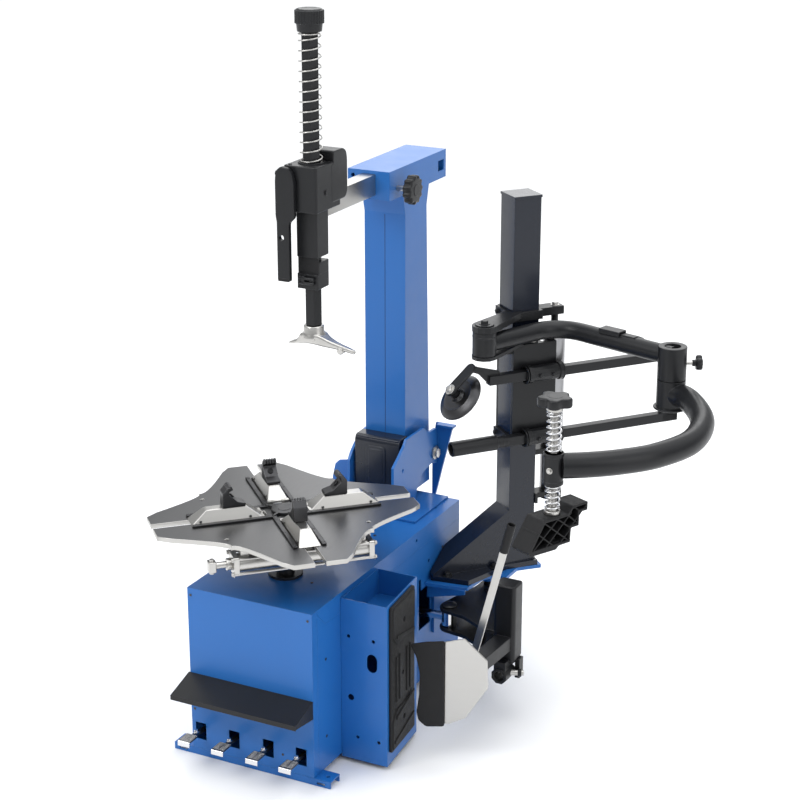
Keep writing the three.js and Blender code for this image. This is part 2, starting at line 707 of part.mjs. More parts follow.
function tower() {
  const { half: h, bottom, top, wall } = TOWER;
  const C = [HELPER.x, HELPER.y];
  const turn = THREE.MathUtils.degToRad(-HELPER.turn);
  const local = ([x, y]) => [
    (x - C[0]) * Math.cos(turn) - (y - C[1]) * Math.sin(turn),
    (x - C[0]) * Math.sin(turn) + (y - C[1]) * Math.cos(turn),
  ];
  const base = [[193, 469], [303, 484], [352, 634], [416, 706], [343, 775], [270, 740], [190, 664]];
  const brace = [[-h, 490], [-h, 405], [-190, bottom], [-274, bottom], [-274, 336]];
  const gusset = [[-h, 407], [-h, bottom], [-188, bottom]];
  const body = join(
    plateXY(base.map(local), bottom - 14.6, bottom),
    box(-h, h, -h, h, bottom - 1, top),
    plateYZ(brace, -h, h),
    plateYZ(gusset, h - 8, h),
    box(-h - 2, h + 2, -h - 2, h + 2, top - 4, top + 3),
  );
  return cut(
    body,
    box(wall - h, h - wall, wall - h, h - wall, bottom - 20, top - 6),
    box(-18, 18, h - wall - 1, h + 3, 700, top - 40),
    worldBoxInHelper(100, 188, 300, 760, 200, 600),
  );
}

function liftCylinder() {
  const h = TOWER.half + GAP;
  return cut(
    join(
      post(8, 107, 500, 1005, 31.5, 24),
      box(-12, 28, h, 100, 508, 524),
      box(-12, 28, h, 100, 640, 656),
      box(-30, 46, h, h + 8, 500, 530),
      post(8, 107, 984, 1005, 34, 24),
    ),
    post(8, 107, 520, 1010, 10.3, 16),
  );
}

function carriage() {
  const h = TOWER.half + 0.4;
  const o = h + 8;
  const collar = (z0, z1) => box(-o, o, -o, o, z0, z1);
  const hub = V(BARREL.x, BARREL.y, 0).applyMatrix4(toHelper);
  const barrel = [hub.x, hub.y];
  const { s, half, upper, lower } = SLIDE;
  const guide = (z) => [
    rod(V(s, -11, z), V(s, 1, z), 25, 14),
    rod(V(s, 0, z), V(s, 84, z), 22, 14),
    rod(V(s, 83, z), V(s, 95, z), 25, 14),
  ];
  const bore = (z) => box(s - half - 0.4, s + half + 0.4, -20, 100, z - half - 0.4, z + half + 0.4);
  const body = join(
    collar(690, 716),
    collar(955, 980),
    collar(1045, 1070),
    box(-o - 6, -o + 2, -38, 38, 690, 1070),
    box(o - 3, o + 9, -44, 88, 690, 980),
    guide(upper),
    guide(lower),
    linkXY([o - 4, -30], 20, barrel, 34, 979, 988.4),
    linkXY([o - 12, -34], 22, barrel, 34, 1055.4, 1072),
    box(-12, 28, o - 3, 125, 1045, 1068),
    post(8, 107, 700, 1050, 10, 16),
    post(...barrel, 979, 1072, 14, 16),
    plateXY([[30, -60], [48, -60], [56, -20], [30, -20]], 956, 988),
  );
  return cut(
    body,
    box(-h, h, -h, h, 680, 1080),
    bore(upper),
    bore(lower),
  );
}

add(machine, "tower_bracket", towerBracket(), BLUE);
add(helper, "tower", tower(), BLACK);
add(helper, "lift_cylinder", liftCylinder(), CHROME);
add(helper, "carriage", carriage(), BLACK);

// ---------------------------------------------------------------- slide frame and bead disc
const DISC_AXIS = V(-0.38, -0.65, 0.66).normalize();
const DISC_CENTRE = V(265, 482, 868);
const STRAP_TOP = V(294.5, 495.7, 942.5);
const discLocal = (h) => DISC_CENTRE.clone().addScaledVector(DISC_AXIS, h).applyMatrix4(toHelper);

// Flat bar with round ends from the disc bolt to the folded plate on the upper slide.
function discStrap() {
  const reach = STRAP_TOP.clone().sub(DISC_CENTRE).projectOnPlane(DISC_AXIS);
  const shape = linkOutline([0, 0], 17, [reach.length(), 0], 17);
  const u = reach.normalize();
  const v = DISC_AXIS.clone().cross(u);
  return prism(
    shape, 6, discLocal(27), u.transformDirection(toHelper), v.transformDirection(toHelper),
  );
}

function slideFrame() {
  const { s, half, upper, lower } = SLIDE;
  const bar = (t0, t1, z) => box(s - half, s + half, t0, t1, z - half, z + half);
  const fold = [
    [-96, 904], [-96, 923], [-158, 941], [-186, 952], [-198, 944], [-192, 934], [-160, 922], [-126, 886],
  ];
  return join(
    bar(-130, 470, upper),
    bar(-82, 470, lower),
    box(s - half, s + half, 420, 470, lower - half, upper + half),
    rod(V(s, -240, lower), V(s, -104, lower), 21, 18),
    rod(V(s, -105, lower), V(s, -80, lower), 14, 16),
    rod(V(s, -100, lower), V(s, -70, lower), 17, 16),
    plateYZ(fold, s - 4, s + 4),
    discStrap(),
    rod(discLocal(12), discLocal(28), 13, 12),
    rod(discLocal(-15), discLocal(14), 5, 12),
    rod(discLocal(-16), discLocal(-12), 9, 6),
    rod(discLocal(32), discLocal(40), 9, 6),
  );
}

function beadDisc() {
  const profile = [
    [5.4, -11], [18, -11], [20, -6], [48, -3], [68, -14], [69, -11],
    [50, 2], [22, 1], [18, 11], [5.4, 11], [5.4, -11],
  ].map(([r, z]) => new THREE.Vector2(r, z));
  const geometry = new THREE.LatheGeometry(profile, 20);
  geometry.rotateX(Math.PI / 2);
  return solid(geometry);
}

add(helper, "slide_frame", slideFrame(), BLACK);
const disc = add(machine, "bead_disc", beadDisc(), DARK_STEEL);
disc.position.copy(DISC_CENTRE);
disc.quaternion.setFromUnitVectors(AXIS_Z, DISC_AXIS);

// ---------------------------------------------------------------- swing arm and press arm
function swingArm() {
  const path = bentPath([
    V(BARREL.x, BARREL.y, SWING.z), V(447, 740, SWING.z), V(ELBOW.x, ELBOW.y, SWING.z),
  ], 90);
  const bore = bentPath([
    V(BARREL.x + 12, BARREL.y + 26, SWING.z), V(447, 740, SWING.z), V(ELBOW.x - 30, ELBOW.y + 8, SWING.z),
  ], 90);
  const loop = bentPath([
    V(560, 700, SWING.z), V(574, 758, SWING.z), V(706, 722, SWING.z), V(700, 664, SWING.z),
  ], 22);
  const body = join(
    sweep(path, SWING.radius, 12, 6),
    post(BARREL.x, BARREL.y, 989, 1055, BARREL.radius, 18),
    post(ELBOW.x, ELBOW.y, ELBOW.seam + GAP, ELBOW.top, ELBOW.radius, 24),
    sweep(loop, 8, 10, 3),
  );
  return cut(
    body,
    sweep(bore, SWING.radius - SWING.wall, 12, 3),
    post(BARREL.x, BARREL.y, 980, 1060, 14.4, 18),
    post(ELBOW.x, ELBOW.y, 950, 1040, 20.6, 18),
    rod(V(ELBOW.x, ELBOW.y, SWING.z), V(ELBOW.x - 40, ELBOW.y + 11, SWING.z), 5, 12),
    rod(V(ELBOW.x, ELBOW.y, 1000), V(ELBOW.x + 41, ELBOW.y + 21, 1000), 5.3, 16),
  );
}

function pressArm() {
  const run = [
    V(ELBOW.x, ELBOW.y, PRESS.z), V(884, 580, PRESS.z), V(965, 443, PRESS.z), V(988, 290, PRESS.z),
    V(945, 162, PRESS.z), V(884, 84, PRESS.z), V(822, 30, PRESS.z), V(PRESS.x + 14, PRESS.y + 8, PRESS.z),
  ];
  const inner = run.slice();
  inner[0] = V(ELBOW.x + 22, ELBOW.y - 14, PRESS.z);
  inner[inner.length - 1] = V(PRESS.x + 34, PRESS.y + 19, PRESS.z);
  const outer = new THREE.CatmullRomCurve3(run, false, "centripetal");
  const hollow = new THREE.CatmullRomCurve3(inner, false, "centripetal");
  const body = join(
    sweep(outer, PRESS.radius, 14, 6),
    post(ELBOW.x, ELBOW.y, ELBOW.bottom, ELBOW.seam, ELBOW.radius, 24),
    post(ELBOW.x, ELBOW.y, ELBOW.seam - 5, 1030, 20, 18),
    post(PRESS.x, PRESS.y, 875, 955, 22, 18),
  );
  return cut(
    body,
    sweep(hollow, PRESS.radius - PRESS.wall, 14, 3),
    rod(V(PRESS.x, PRESS.y, PRESS.z), V(PRESS.x + 40, PRESS.y + 22, PRESS.z), 5, 12),
    post(PRESS.x, PRESS.y, 870, 960, 10.3, 18),
    post(ELBOW.x, ELBOW.y, 870, 900, 20, 18),
  );
}

// Stepped wedge with cross ribs in its open side face; y runs along the face from the screw.
function pressBlock() {
  const turn = THREE.MathUtils.degToRad(24.85);
  const face = V(Math.cos(turn), -Math.sin(turn), 0);
  const along = V(Math.sin(turn), Math.cos(turn), 0);
  const slab = (points, from, to) => prism(
    outline(points), to - from, V(PRESS.x, PRESS.y, 0).addScaledVector(face, from), along, AXIS_Z,
  );
  const profile = [
    [-98, 728], [-90, 718], [-10, 716], [0, 724], [36, 724], [38, 760], [63, 760], [64, 794],
    [90, 794], [91, 816], [42, 816], [26, 799], [-50, 799],
  ];
  const inner = [
    [-86, 731], [31, 731], [33, 767], [58, 767], [59, 801], [84, 801], [85, 810], [45, 810],
    [29, 793], [-46, 793],
  ];
  const ribs = [
    [-52, 797, 34, 727], [-70, 772, -16, 727], [-10, 797, 37, 760], [26, 797, 62, 765], [46, 814, 66, 796],
    [-80, 731, 2, 797], [-44, 727, 40, 800], [2, 727, 37, 757], [32, 757, 86, 806],
  ].map(([y0, z0, y1, z1]) => {
    const half = V(y1 - y0, z1 - z0, 0).normalize().multiplyScalar(1.5);
    return slab([
      [y0 - half.y, z0 + half.x], [y0 + half.y, z0 - half.x],
      [y1 + half.y, z1 - half.x], [y1 - half.y, z1 + half.x],
    ], -27, 26);
  });
  return join(cut(slab(profile, -34, 28), slab(inner, -26, 30)), ...ribs);
}

add(machine, "swing_arm", swingArm(), BLACK);
add(machine, "press_arm", pressArm(), BLACK);
add(
  machine,
  "elbow_knob",
  handKnob(
    V(ELBOW.x + 20, ELBOW.y + 10.2, 1000), V(ELBOW.x + 60, ELBOW.y + 30.6, 1000), 5,
    V(ELBOW.x + 55, ELBOW.y + 28, 1000), V(ELBOW.x + 71, ELBOW.y + 36.2, 1000), 21, 5,
  ),
  BLACK,
);
add(
  machine,
  "press_screw",
  join(
    post(PRESS.x, PRESS.y, 799.4, 1070.6, 10, 16),
    post(PRESS.x, PRESS.y, 799.4, 809, 20, 16),
    post(PRESS.x, PRESS.y, 1060, 1070.6, 20, 16),
  ),
  STEEL,
);
add(machine, "upper_press_spring", coil(PRESS.x, PRESS.y, 958, 1057, 17, 6, 2.5), CHROME);
add(machine, "lower_press_spring", coil(PRESS.x, PRESS.y, 812, 872, 17, 4, 2.5), CHROME);
add(
  machine,
  "screw_knob",
  prism(lobedShape(43, 8, 5), 25, V(PRESS.x, PRESS.y, 1071), AXIS_X, AXIS_Y),
  BLACK,
);
add(machine, "press_block", pressBlock(), RUBBER);

// ---------------------------------------------------------------- bead breaker
function breakerCylinder() {
  const [, y] = BREAKER.pin;
  return cut(
    join(
      rod(V(-150, y, 220), V(60, y, 220), 95, 18),
      rod(V(-165, y, 220), V(-145, y, 220), 103, 18),
      rod(V(55, y, 220), V(75, y, 220), 103, 18),
      rod(V(70, y, 220), V(95, y, 220), 30, 18),
    ),
    rod(V(-60, y, 220), V(100, y, 220), 12.6, 18),
    rod(V(-135, y, 220), V(50, y, 220), 88, 18),
  );
}

function breakerRod() {
  const [x, y] = BREAKER.pin;
  return cut(
    join(rod(V(-40, y, 220), V(x - 10, y, 220), 12.5, 18), post(x, y, 198, 242, 21, 18)),
    post(x, y, 190, 250, 11.2, 18),
  );
}

function breakerArm() {
  const { pivot, pin, lower, upper, plate } = BREAKER;
  const web = [
    [pivot[0] - 4, pivot[1] - 30], [pin[0] + 6, pin[1] - 29], [400, 368], [440, 368],
    [440, 428], [pivot[0] + 30, pivot[1] - 20],
  ];
  const levels = [lower, upper];
  const plates = levels.flatMap((z) => [
    plateXY(web, z, z + plate),
    post(...pivot, z, z + plate, 30, 14),
    post(...pin, z, z + plate, 30, 14),
  ]);
  const shellOutline = outline([[430, 368], [494, 368], [494, 428], [430, 428]], 16);
  const socketOutline = outline([[441, 113], [485, 113], [485, 157], [441, 157]], 12);
  const shell = prism(shellOutline, 225, V(0, 0, 168), AXIS_X, AXIS_Y);
  const socket = prism(socketOutline, 60, V(0, 400, 0), AXIS_X, AXIS_Z);
  return join(
    plates,
    post(...pivot, lower + 2, upper + plate - 2, 24, 18),
    post(...pivot, 144, 312, 12, 18),
    post(...pin, lower + 2, upper + plate + 2, 8, 16),
    post(...pin, upper + plate, upper + plate + 8, 22, 18),
    shell,
    box(446, 480, 344, 396, 150, 176),
    socket,
    rod(V(470, 372, 135), V(518, 392, 135), 7, 16),
    plateXY([[428, 96], [468, 96], [486, 380], [440, 380]], 205, 245),
    box(404, 434, 380, 386, 196, 246),
  );
}

const BLADE_ORIGIN = V(340, 60, 0);
const BLADE_ALONG = V(208, 35, 0).normalize();

function breakerBlade() {
  const plate = [
    [0, 326], [91, 350], [143, 366], [203, 312], [206, 234],
    [148, 140], [103, 115], [41, 106], [16, 140], [28, 254],
  ];
  return prism(outline(plate, 8), 6, BLADE_ORIGIN, BLADE_ALONG, AXIS_Z);
}

function bladeCover() {
  const shape = [[-3, 332], [91, 354], [91, 108], [41, 100], [13, 137], [25, 254]];
  const front = BLADE_ALONG.clone().cross(AXIS_Z);
  const base = BLADE_ORIGIN.clone().addScaledVector(front, 6.3);
  return prism(outline(shape, 8), 5, base, BLADE_ALONG, AXIS_Z);
}

function bladeHandle() {
  const foot = V(465.6, 150, 248.2);
  const top = V(557, 150, 602);
  const along = top.clone().sub(foot).normalize();
  const side = V(0, 1, 0);
  const across = side.clone().cross(along);
  return prism(
    outline([[-10, 0], [10, 0], [10, top.distanceTo(foot)], [-10, top.distanceTo(foot)]], 3),
    6, foot, across, along,
  );
}

function bladeGrip() {
  const along = V(91.4, 0, 353.8).normalize();
  const at = (d) => V(557, 147, 602).addScaledVector(along, d);
  return cut(rod(at(-6), at(76), 12, 16), rod(at(12), at(80), 8.5, 12), bladeHandleClearance(along));
}

function bladeHandleClearance(along) {
  const base = V(557, 150.3, 602).addScaledVector(along, -20);
  const across = V(0, 1, 0).cross(along);
  return prism(outline([[-10.3, 0], [10.3, 0], [10.3, 20.3], [-10.3, 20.3]]), 6.6, base, across, along);
}

add(machine, "breaker_cylinder", breakerCylinder(), DARK_STEEL);
add(machine, "breaker_rod", breakerRod(), CHROME);
add(machine, "breaker_arm", breakerArm(), BLACK);
add(machine, "breaker_blade", breakerBlade(), STEEL);
add(machine, "blade_cover", bladeCover(), BLACK);
add(machine, "blade_handle", bladeHandle(), STEEL);
add(machine, "blade_grip", bladeGrip(), BLACK);

// ---------------------------------------------------------------- frame: origin on the floor, mid-plan
const extent = new THREE.Box3().setFromObject(machine);
const centre = extent.getCenter(new THREE.Vector3());
machine.position.set(-centre.x, -centre.y, -extent.min.z);

export default machine;
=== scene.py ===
import math

import bmesh
import bpy
from mathutils import Matrix, Vector
from mathutils.geometry import tessellate_polygon


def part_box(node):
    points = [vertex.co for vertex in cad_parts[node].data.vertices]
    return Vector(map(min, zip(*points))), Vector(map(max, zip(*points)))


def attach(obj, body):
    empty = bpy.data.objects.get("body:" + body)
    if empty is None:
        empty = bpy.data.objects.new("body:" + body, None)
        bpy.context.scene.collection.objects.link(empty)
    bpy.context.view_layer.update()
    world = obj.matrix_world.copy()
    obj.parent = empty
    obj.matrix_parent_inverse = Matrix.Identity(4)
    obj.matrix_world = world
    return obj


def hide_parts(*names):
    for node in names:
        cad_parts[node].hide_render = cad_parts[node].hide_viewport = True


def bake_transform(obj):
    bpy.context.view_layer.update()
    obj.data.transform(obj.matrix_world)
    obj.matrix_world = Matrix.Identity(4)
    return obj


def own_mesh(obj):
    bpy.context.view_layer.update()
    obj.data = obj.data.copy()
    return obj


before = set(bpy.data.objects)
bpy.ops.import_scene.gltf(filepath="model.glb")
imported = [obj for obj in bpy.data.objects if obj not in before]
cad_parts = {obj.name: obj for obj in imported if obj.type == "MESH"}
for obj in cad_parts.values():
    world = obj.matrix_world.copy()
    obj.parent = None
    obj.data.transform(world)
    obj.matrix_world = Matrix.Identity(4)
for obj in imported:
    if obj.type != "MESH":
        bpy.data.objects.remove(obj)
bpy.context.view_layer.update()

# ------------------------------------------------------------------ layout
# Points are in machine millimetres: the turntable axis is X = Y = 0 and the floor is Z = 0.
MM = 0.001
shaft_low, shaft_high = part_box("turntable_shaft")
ORIGIN = Vector(((shaft_low.x + shaft_high.x) / 2, (shaft_low.y + shaft_high.y) / 2, 0))
TO_ROW = Matrix.Translation(ORIGIN) @ Matrix.Scale(MM, 4)
AXIS_X = Vector((1, 0, 0))
AXIS_Y = Vector((0, 1, 0))
AXIS_Z = Vector((0, 0, 1))
HELPER_TURN = math.radians(-39)
HELPER_X, HELPER_Y = 346, 699
HELPER = Matrix.Translation((HELPER_X, HELPER_Y, 0)) @ Matrix.Rotation(HELPER_TURN, 4, "Z")


# ------------------------------------------------------------------ materials
def socket(node, name, value):
    node.inputs[name].default_value = value


def finish(name, colour, metallic, roughness, *, coat=0.0, coat_roughness=0.08, shine=0.5, vary=0.12,
           stretch=(1, 1, 1), scale=40.0, rough_vary=0.08, bump=0.02, bump_scale=400.0,
           wear_colour=(0.5, 0.5, 0.5), wear=0.0, edge=0.0012):
    """Procedural finish: mottled colour, streaks, fine bump, and edges rounded and rubbed."""
    mat = bpy.data.materials.new(name)
    mat.use_nodes = True
    tree = mat.node_tree
    nodes = tree.nodes
    link = tree.links.new
    shader = nodes["Principled BSDF"]
    socket(shader, "Metallic", metallic)
    socket(shader, "Specular IOR Level", shine)
    socket(shader, "Coat Weight", coat)
    socket(shader, "Coat Roughness", coat_roughness)
    where = nodes.new("ShaderNodeTexCoord")
    mapping = nodes.new("ShaderNodeMapping")
    socket(mapping, "Scale", stretch)
    link(where.outputs["Object"], mapping.inputs["Vector"])
    mottle = nodes.new("ShaderNodeTexNoise")
    socket(mottle, "Scale", scale)
    socket(mottle, "Detail", 6.0)
    socket(mottle, "Roughness", 0.6)
    link(mapping.outputs["Vector"], mottle.inputs["Vector"])
    broad = nodes.new("ShaderNodeTexNoise")
    socket(broad, "Scale", 3.5)
    socket(broad, "Detail", 3.0)
    link(where.outputs["Object"], broad.inputs["Vector"])
    tint = nodes.new("ShaderNodeMix")
    tint.data_type = "RGBA"
    socket(tint, 6, (*[c * (1 - vary) for c in colour], 1))
    socket(tint, 7, (*[min(1, c * (1 + vary)) for c in colour], 1))
    blend = nodes.new("ShaderNodeMath")
    blend.operation = "MULTIPLY_ADD"
    socket(blend, 1, 0.6)
    half = nodes.new("ShaderNodeMath")
    half.operation = "MULTIPLY"
    socket(half, 1, 0.4)
    link(mottle.outputs["Fac"], blend.inputs[0])
    link(broad.outputs["Fac"], half.inputs[0])
    link(half.outputs[0], blend.inputs[2])
    link(blend.outputs[0], tint.inputs[0])
    rounded = nodes.new("ShaderNodeBevel")
    rounded.samples = 3
    socket(rounded, "Radius", edge)
    facing = nodes.new("ShaderNodeNewGeometry")
    dot = nodes.new("ShaderNodeVectorMath")
    dot.operation = "DOT_PRODUCT"
    link(rounded.outputs["Normal"], dot.inputs[0])
    link(facing.outputs["Normal"], dot.inputs[1])
    rim = nodes.new("ShaderNodeMapRange")
    for key, value in (("From Min", 0.998), ("From Max", 0.85), ("To Min", 0.0), ("To Max", wear)):
        socket(rim, key, value)
    link(dot.outputs["Value"], rim.inputs["Value"])
    rubbed = nodes.new("ShaderNodeMath")
    rubbed.operation = "MULTIPLY"
    link(rim.outputs["Result"], rubbed.inputs[0])
    link(mottle.outputs["Fac"], rubbed.inputs[1])
    worn = nodes.new("ShaderNodeMix")
    worn.data_type = "RGBA"
    link(rubbed.outputs[0], worn.inputs[0])
    link(tint.outputs[2], worn.inputs[6])
    socket(worn, 7, (*wear_colour, 1))
    link(worn.outputs[2], shader.inputs["Base Color"])
    rough = nodes.new("ShaderNodeMapRange")
    for key, value in (("From Min", 0.25), ("From Max", 0.75),
                       ("To Min", max(0.03, roughness - rough_vary)),
                       ("To Max", roughness + rough_vary)):
        socket(rough, key, value)
    link(mottle.outputs["Fac"], rough.inputs["Value"])
    link(rough.outputs["Result"], shader.inputs["Roughness"])
    grain = nodes.new("ShaderNodeTexNoise")
    socket(grain, "Scale", bump_scale)
    socket(grain, "Detail", 3.0)
    link(mapping.outputs["Vector"], grain.inputs["Vector"])
    relief = nodes.new("ShaderNodeBump")
    socket(relief, "Strength", bump)
    socket(relief, "Distance", 0.001)
    link(grain.outputs["Fac"], relief.inputs["Height"])
    link(rounded.outputs["Normal"], relief.inputs["Normal"])
    link(relief.outputs["Normal"], shader.inputs["Normal"])
    return mat


BLUE = finish("blue_paint", (0.014, 0.130, 0.43), 0.0, 0.36, coat=0.12, shine=0.35, vary=0.04, scale=18,
              rough_vary=0.04, bump=0.05, bump_scale=330, wear=0.45,
              wear_colour=(0.14, 0.34, 0.70), edge=0.0016)
# Dark blue used only for the painted shade of the groove down the column's front.
GROOVE_SHADE = finish("blue_paint_shadow", (0.006, 0.040, 0.15), 0.0, 0.5, vary=0.1, scale=30, edge=0.0004)
BLACK = finish("black_paint", (0.011, 0.0115, 0.013), 0.0, 0.34, shine=0.28,
               vary=0.12, scale=40, rough_vary=0.05, bump=0.08, bump_scale=700, wear=0.5,
               wear_colour=(0.12, 0.12, 0.13), edge=0.0016)
# Gloss black with a blue tint in its colour and in its lighter edge colour: a painted reflection of the
# blue cabinet, not the paint's own colour.
BLUE_REFLECTION_BLACK = finish("black_gloss_painted_blue_reflection", (0.008, 0.011, 0.020), 0.0, 0.24, shine=0.35, coat=0.15, coat_roughness=0.1,
              vary=0.06, scale=24, rough_vary=0.03, bump=0.03, bump_scale=300, wear=0.5,
              wear_colour=(0.10, 0.12, 0.17), edge=0.0016)
RUBBER = finish("black_rubber", (0.011, 0.011, 0.012), 0.0, 0.55, shine=0.25, vary=0.2, scale=90,
                bump=0.3, bump_scale=900, wear=0.5, wear_colour=(0.08, 0.08, 0.08), edge=0.0012)
STEEL = finish("bright_steel", (0.50, 0.49, 0.47), 1.0, 0.30, vary=0.05, scale=14,
               stretch=(1, 1, 6), rough_vary=0.025, bump=0.010, bump_scale=240, wear=0.6,
               wear_colour=(0.88, 0.88, 0.87), edge=0.0012)
CHROME = finish("chrome_steel", (0.70, 0.70, 0.71), 1.0, 0.13, vary=0.04, scale=30,
                rough_vary=0.02, bump=0.004, bump_scale=200, edge=0.0006)
SATIN = finish("satin_steel", (0.34, 0.34, 0.35), 1.0, 0.32, vary=0.05, scale=20, rough_vary=0.03,
               bump=0.006, bump_scale=240, edge=0.0008)
TABLE = finish("table_steel", (0.150, 0.150, 0.152), 1.0, 0.36, vary=0.08, scale=12,
               stretch=(26, 2, 2), rough_vary=0.04, bump=0.025, bump_scale=120, edge=0.0012,
               wear=0.8, wear_colour=(0.75, 0.75, 0.75))
DARK = finish("dark_steel", (0.070, 0.070, 0.073), 1.0, 0.36, vary=0.12, scale=40,
              rough_vary=0.05, bump=0.04, bump_scale=500, wear=0.8, wear_colour=(0.4, 0.4, 0.4),
              edge=0.001)


def dress(node, mat):
    """Gives a carried-over CAD node its finish."""
    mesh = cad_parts[node].data
    mesh.materials.clear()
    mesh.materials.append(mat)


for blue in ("front_foot", "rear_foot", "cabinet_shell", "front_panel", "top_panel", "bumper_box",
             "column_bracket", "column", "tower_bracket"):
    dress(blue, BLUE)
for black in ("pedal_guard", "column_cover", "arm_lock_knob", "head_housing", "lock_handle",
              "shaft_cap", "carriage", "slide_frame", "swing_arm", "press_arm", "elbow_knob",
              "screw_knob", "breaker_arm", "blade_cover", "blade_grip"):
    dress(black, BLACK)
# The tower gets the gloss black with the painted blue reflection tint.
dress("tower", BLUE_REFLECTION_BLACK)
for steel in ("tilt_pin", "pedal_shaft", "horizontal_arm", "mount_head", "press_screw",
              "breaker_blade", "blade_handle", "shaft_spring", "clamp_cylinder_a",
              "clamp_cylinder_b", "pedal_1", "pedal_2", "pedal_3", "pedal_4", "jaw_slide_1",
              "jaw_slide_2", "jaw_slide_3", "jaw_slide_4"):
    dress(steel, STEEL)
for chrome in ("lift_cylinder", "upper_press_spring", "lower_press_spring", "breaker_rod"):
    dress(chrome, CHROME)
for dark in ("hex_shaft", "gear_motor", "turntable_shaft", "hub_cover", "bead_disc",
             "breaker_cylinder", "jaw_grip_1", "jaw_grip_2", "jaw_grip_3", "jaw_grip_4"):
    dress(dark, DARK)
dress("turntable_plate", TABLE)
for rubber in ("bumper_pad", "press_block"):
    dress(rubber, RUBBER)

# ------------------------------------------------------------------ mesh building
def polar(radius, degrees):
    angle = math.radians(degrees)
    return (radius * math.cos(angle), radius * math.sin(angle))


def basis(axis):
    w = Vector(axis).normalized()
    u = (AXIS_Z if abs(w.z) < 0.9 else AXIS_X).cross(w).normalized()
    return u, w.cross(u), w


def loft(bm, rings, mat=0, loop=False):
    """Skin through rings of points, closed by end faces or joined end to end."""
    made = [[bm.verts.new(p) for p in ring] for ring in rings]
    pairs = list(zip(made, made[1:]))
    if loop:
        pairs.append((made[-1], made[0]))
    for a, b in pairs:
        for i in range(len(a)):
            j = (i + 1) % len(a)
            bm.faces.new((a[i], a[j], b[j], b[i])).material_index = mat
    if not loop:
        bm.faces.new(made[0][::-1]).material_index = mat
        bm.faces.new(made[-1]).material_index = mat


def turn(bm, base, axis, profile, sides=40, mat=0, hollow=False):
    """Body turned about an axis; the profile is (radius, height) from the base point."""
    u, v, w = basis(axis)
    base = Vector(base)
    rings = []
    for radius, height in profile:
        ring = []
        for i in range(sides):
            angle = 2 * math.pi * i / sides
            ring.append(base + w * height + u * radius * math.cos(angle) + v * radius * math.sin(angle))
        rings.append(ring)
    loft(bm, rings, mat, loop=hollow)


def drum(bm, base, axis, radius, height, ease=1.5, sides=40, mat=0):
    """Short round body with eased rims."""
    turn(bm, base, axis, [(radius - ease, 0), (radius - 0.3 * ease, 0.3 * ease), (radius, ease),
                          (radius, height - ease), (radius - 0.3 * ease, height - 0.3 * ease),
                          (radius - ease, height)], sides, mat)


def bored(bm, base, axis, outer, inner, height, ease=1.2, sides=40, mat=0):
    """Open tube with eased rims."""
    turn(bm, base, axis, [(inner + ease, 0), (outer - ease, 0), (outer, ease), (outer, height - ease),
                          (outer - ease, height), (inner + ease, height), (inner, height - ease),
                          (inner, ease)], sides, mat, hollow=True)


def hex_head(bm, base, axis, across=13, height=6, mat=0, washer=1.6):
    """Bolt head on a washer."""
    w = Vector(axis).normalized()
    base = Vector(base)
    drum(bm, base, axis, across * 0.8, washer, 0.5, 28, mat)
    corner = across / math.sqrt(3)
    turn(bm, base + w * (washer - 0.1), axis,
         [(corner, 0), (corner, height * 0.78), (corner * 0.86, height), (corner * 0.4, height)], 6, mat)


def sweep(bm, path, radius, sides=28, mat=0):
    """Round bar along a path, without twist."""
    points = [Vector(p) for p in path]
    heading = (points[1] - points[0]).normalized()
    u, v, _ = basis(heading)
    rings = []
    for i, p in enumerate(points):
        ahead = points[min(i + 1, len(points) - 1)] - points[max(i - 1, 0)]
        ahead.normalize()
        swing = heading.rotation_difference(ahead)
        u, v = swing @ u, swing @ v
        heading = ahead
        rings.append([p + u * radius * math.cos(2 * math.pi * k / sides)
                      + v * radius * math.sin(2 * math.pi * k / sides) for k in range(sides)])
    loft(bm, rings, mat)


def bent(points, radius, steps=10):
    """Path with straight runs and rounded bends."""
    points = [Vector(p) for p in points]
    path = [points[0]]
    for before, corner, after in zip(points, points[1:], points[2:]):
        a = corner.lerp(before, min(0.48, radius / (before - corner).length))
        b = corner.lerp(after, min(0.48, radius / (after - corner).length))
        for i in range(steps + 1):
            t = i / steps
            path.append(a * (1 - t) ** 2 + corner * 2 * t * (1 - t) + b * t * t)
    path.append(points[-1])
    return path


def spline(points, steps=10):
    """Smooth path through every point."""
    points = [Vector(p) for p in points]
    ends = [points[0] * 2 - points[1], *points, points[-1] * 2 - points[-2]]
    path = []
    for p0, p1, p2, p3 in zip(ends, ends[1:], ends[2:], ends[3:]):
        for i in range(steps):
            t = i / steps
            path.append(0.5 * ((p1 * 2) + (p2 - p0) * t + (p0 * 2 - p1 * 5 + p2 * 4 - p3) * t * t
                               + (p1 * 3 - p0 - p2 * 3 + p3) * t ** 3))
    path.append(points[-1])
    return path


def area_of(points):
    return sum(a.x * b.y - b.x * a.y for a, b in zip(points, points[1:] + points[:1])) / 2


def soften(points, ease, steps=4):
    """Outline with each corner eased over a distance."""
    points = [Vector(p) for p in points]
    if ease <= 0:
        return points
    out = []
    for i, corner in enumerate(points):
        before, after = points[i - 1], points[(i + 1) % len(points)]
        a = corner.lerp(before, min(0.45, ease / (before - corner).length))
        b = corner.lerp(after, min(0.45, ease / (after - corner).length))
        for k in range(steps + 1):
            t = k / steps
            out.append(a * (1 - t) ** 2 + corner * 2 * t * (1 - t) + b * t * t)
    return out


def inset(points, amount):
    out = []
    for i, p in enumerate(points):
        a = (p - points[i - 1]).normalized()
        b = (points[(i + 1) % len(points)] - p).normalized()
        na, nb = Vector((-a.y, a.x)), Vector((-b.y, b.x))
        out.append(p + (na + nb) * (amount / max(0.35, 1 + na.dot(nb))))
    return out


def circle(x, y, radius, sides=24):
    return [Vector((x + radius * math.cos(2 * math.pi * i / sides),
                    y + radius * math.sin(2 * math.pi * i / sides))) for i in range(sides)]


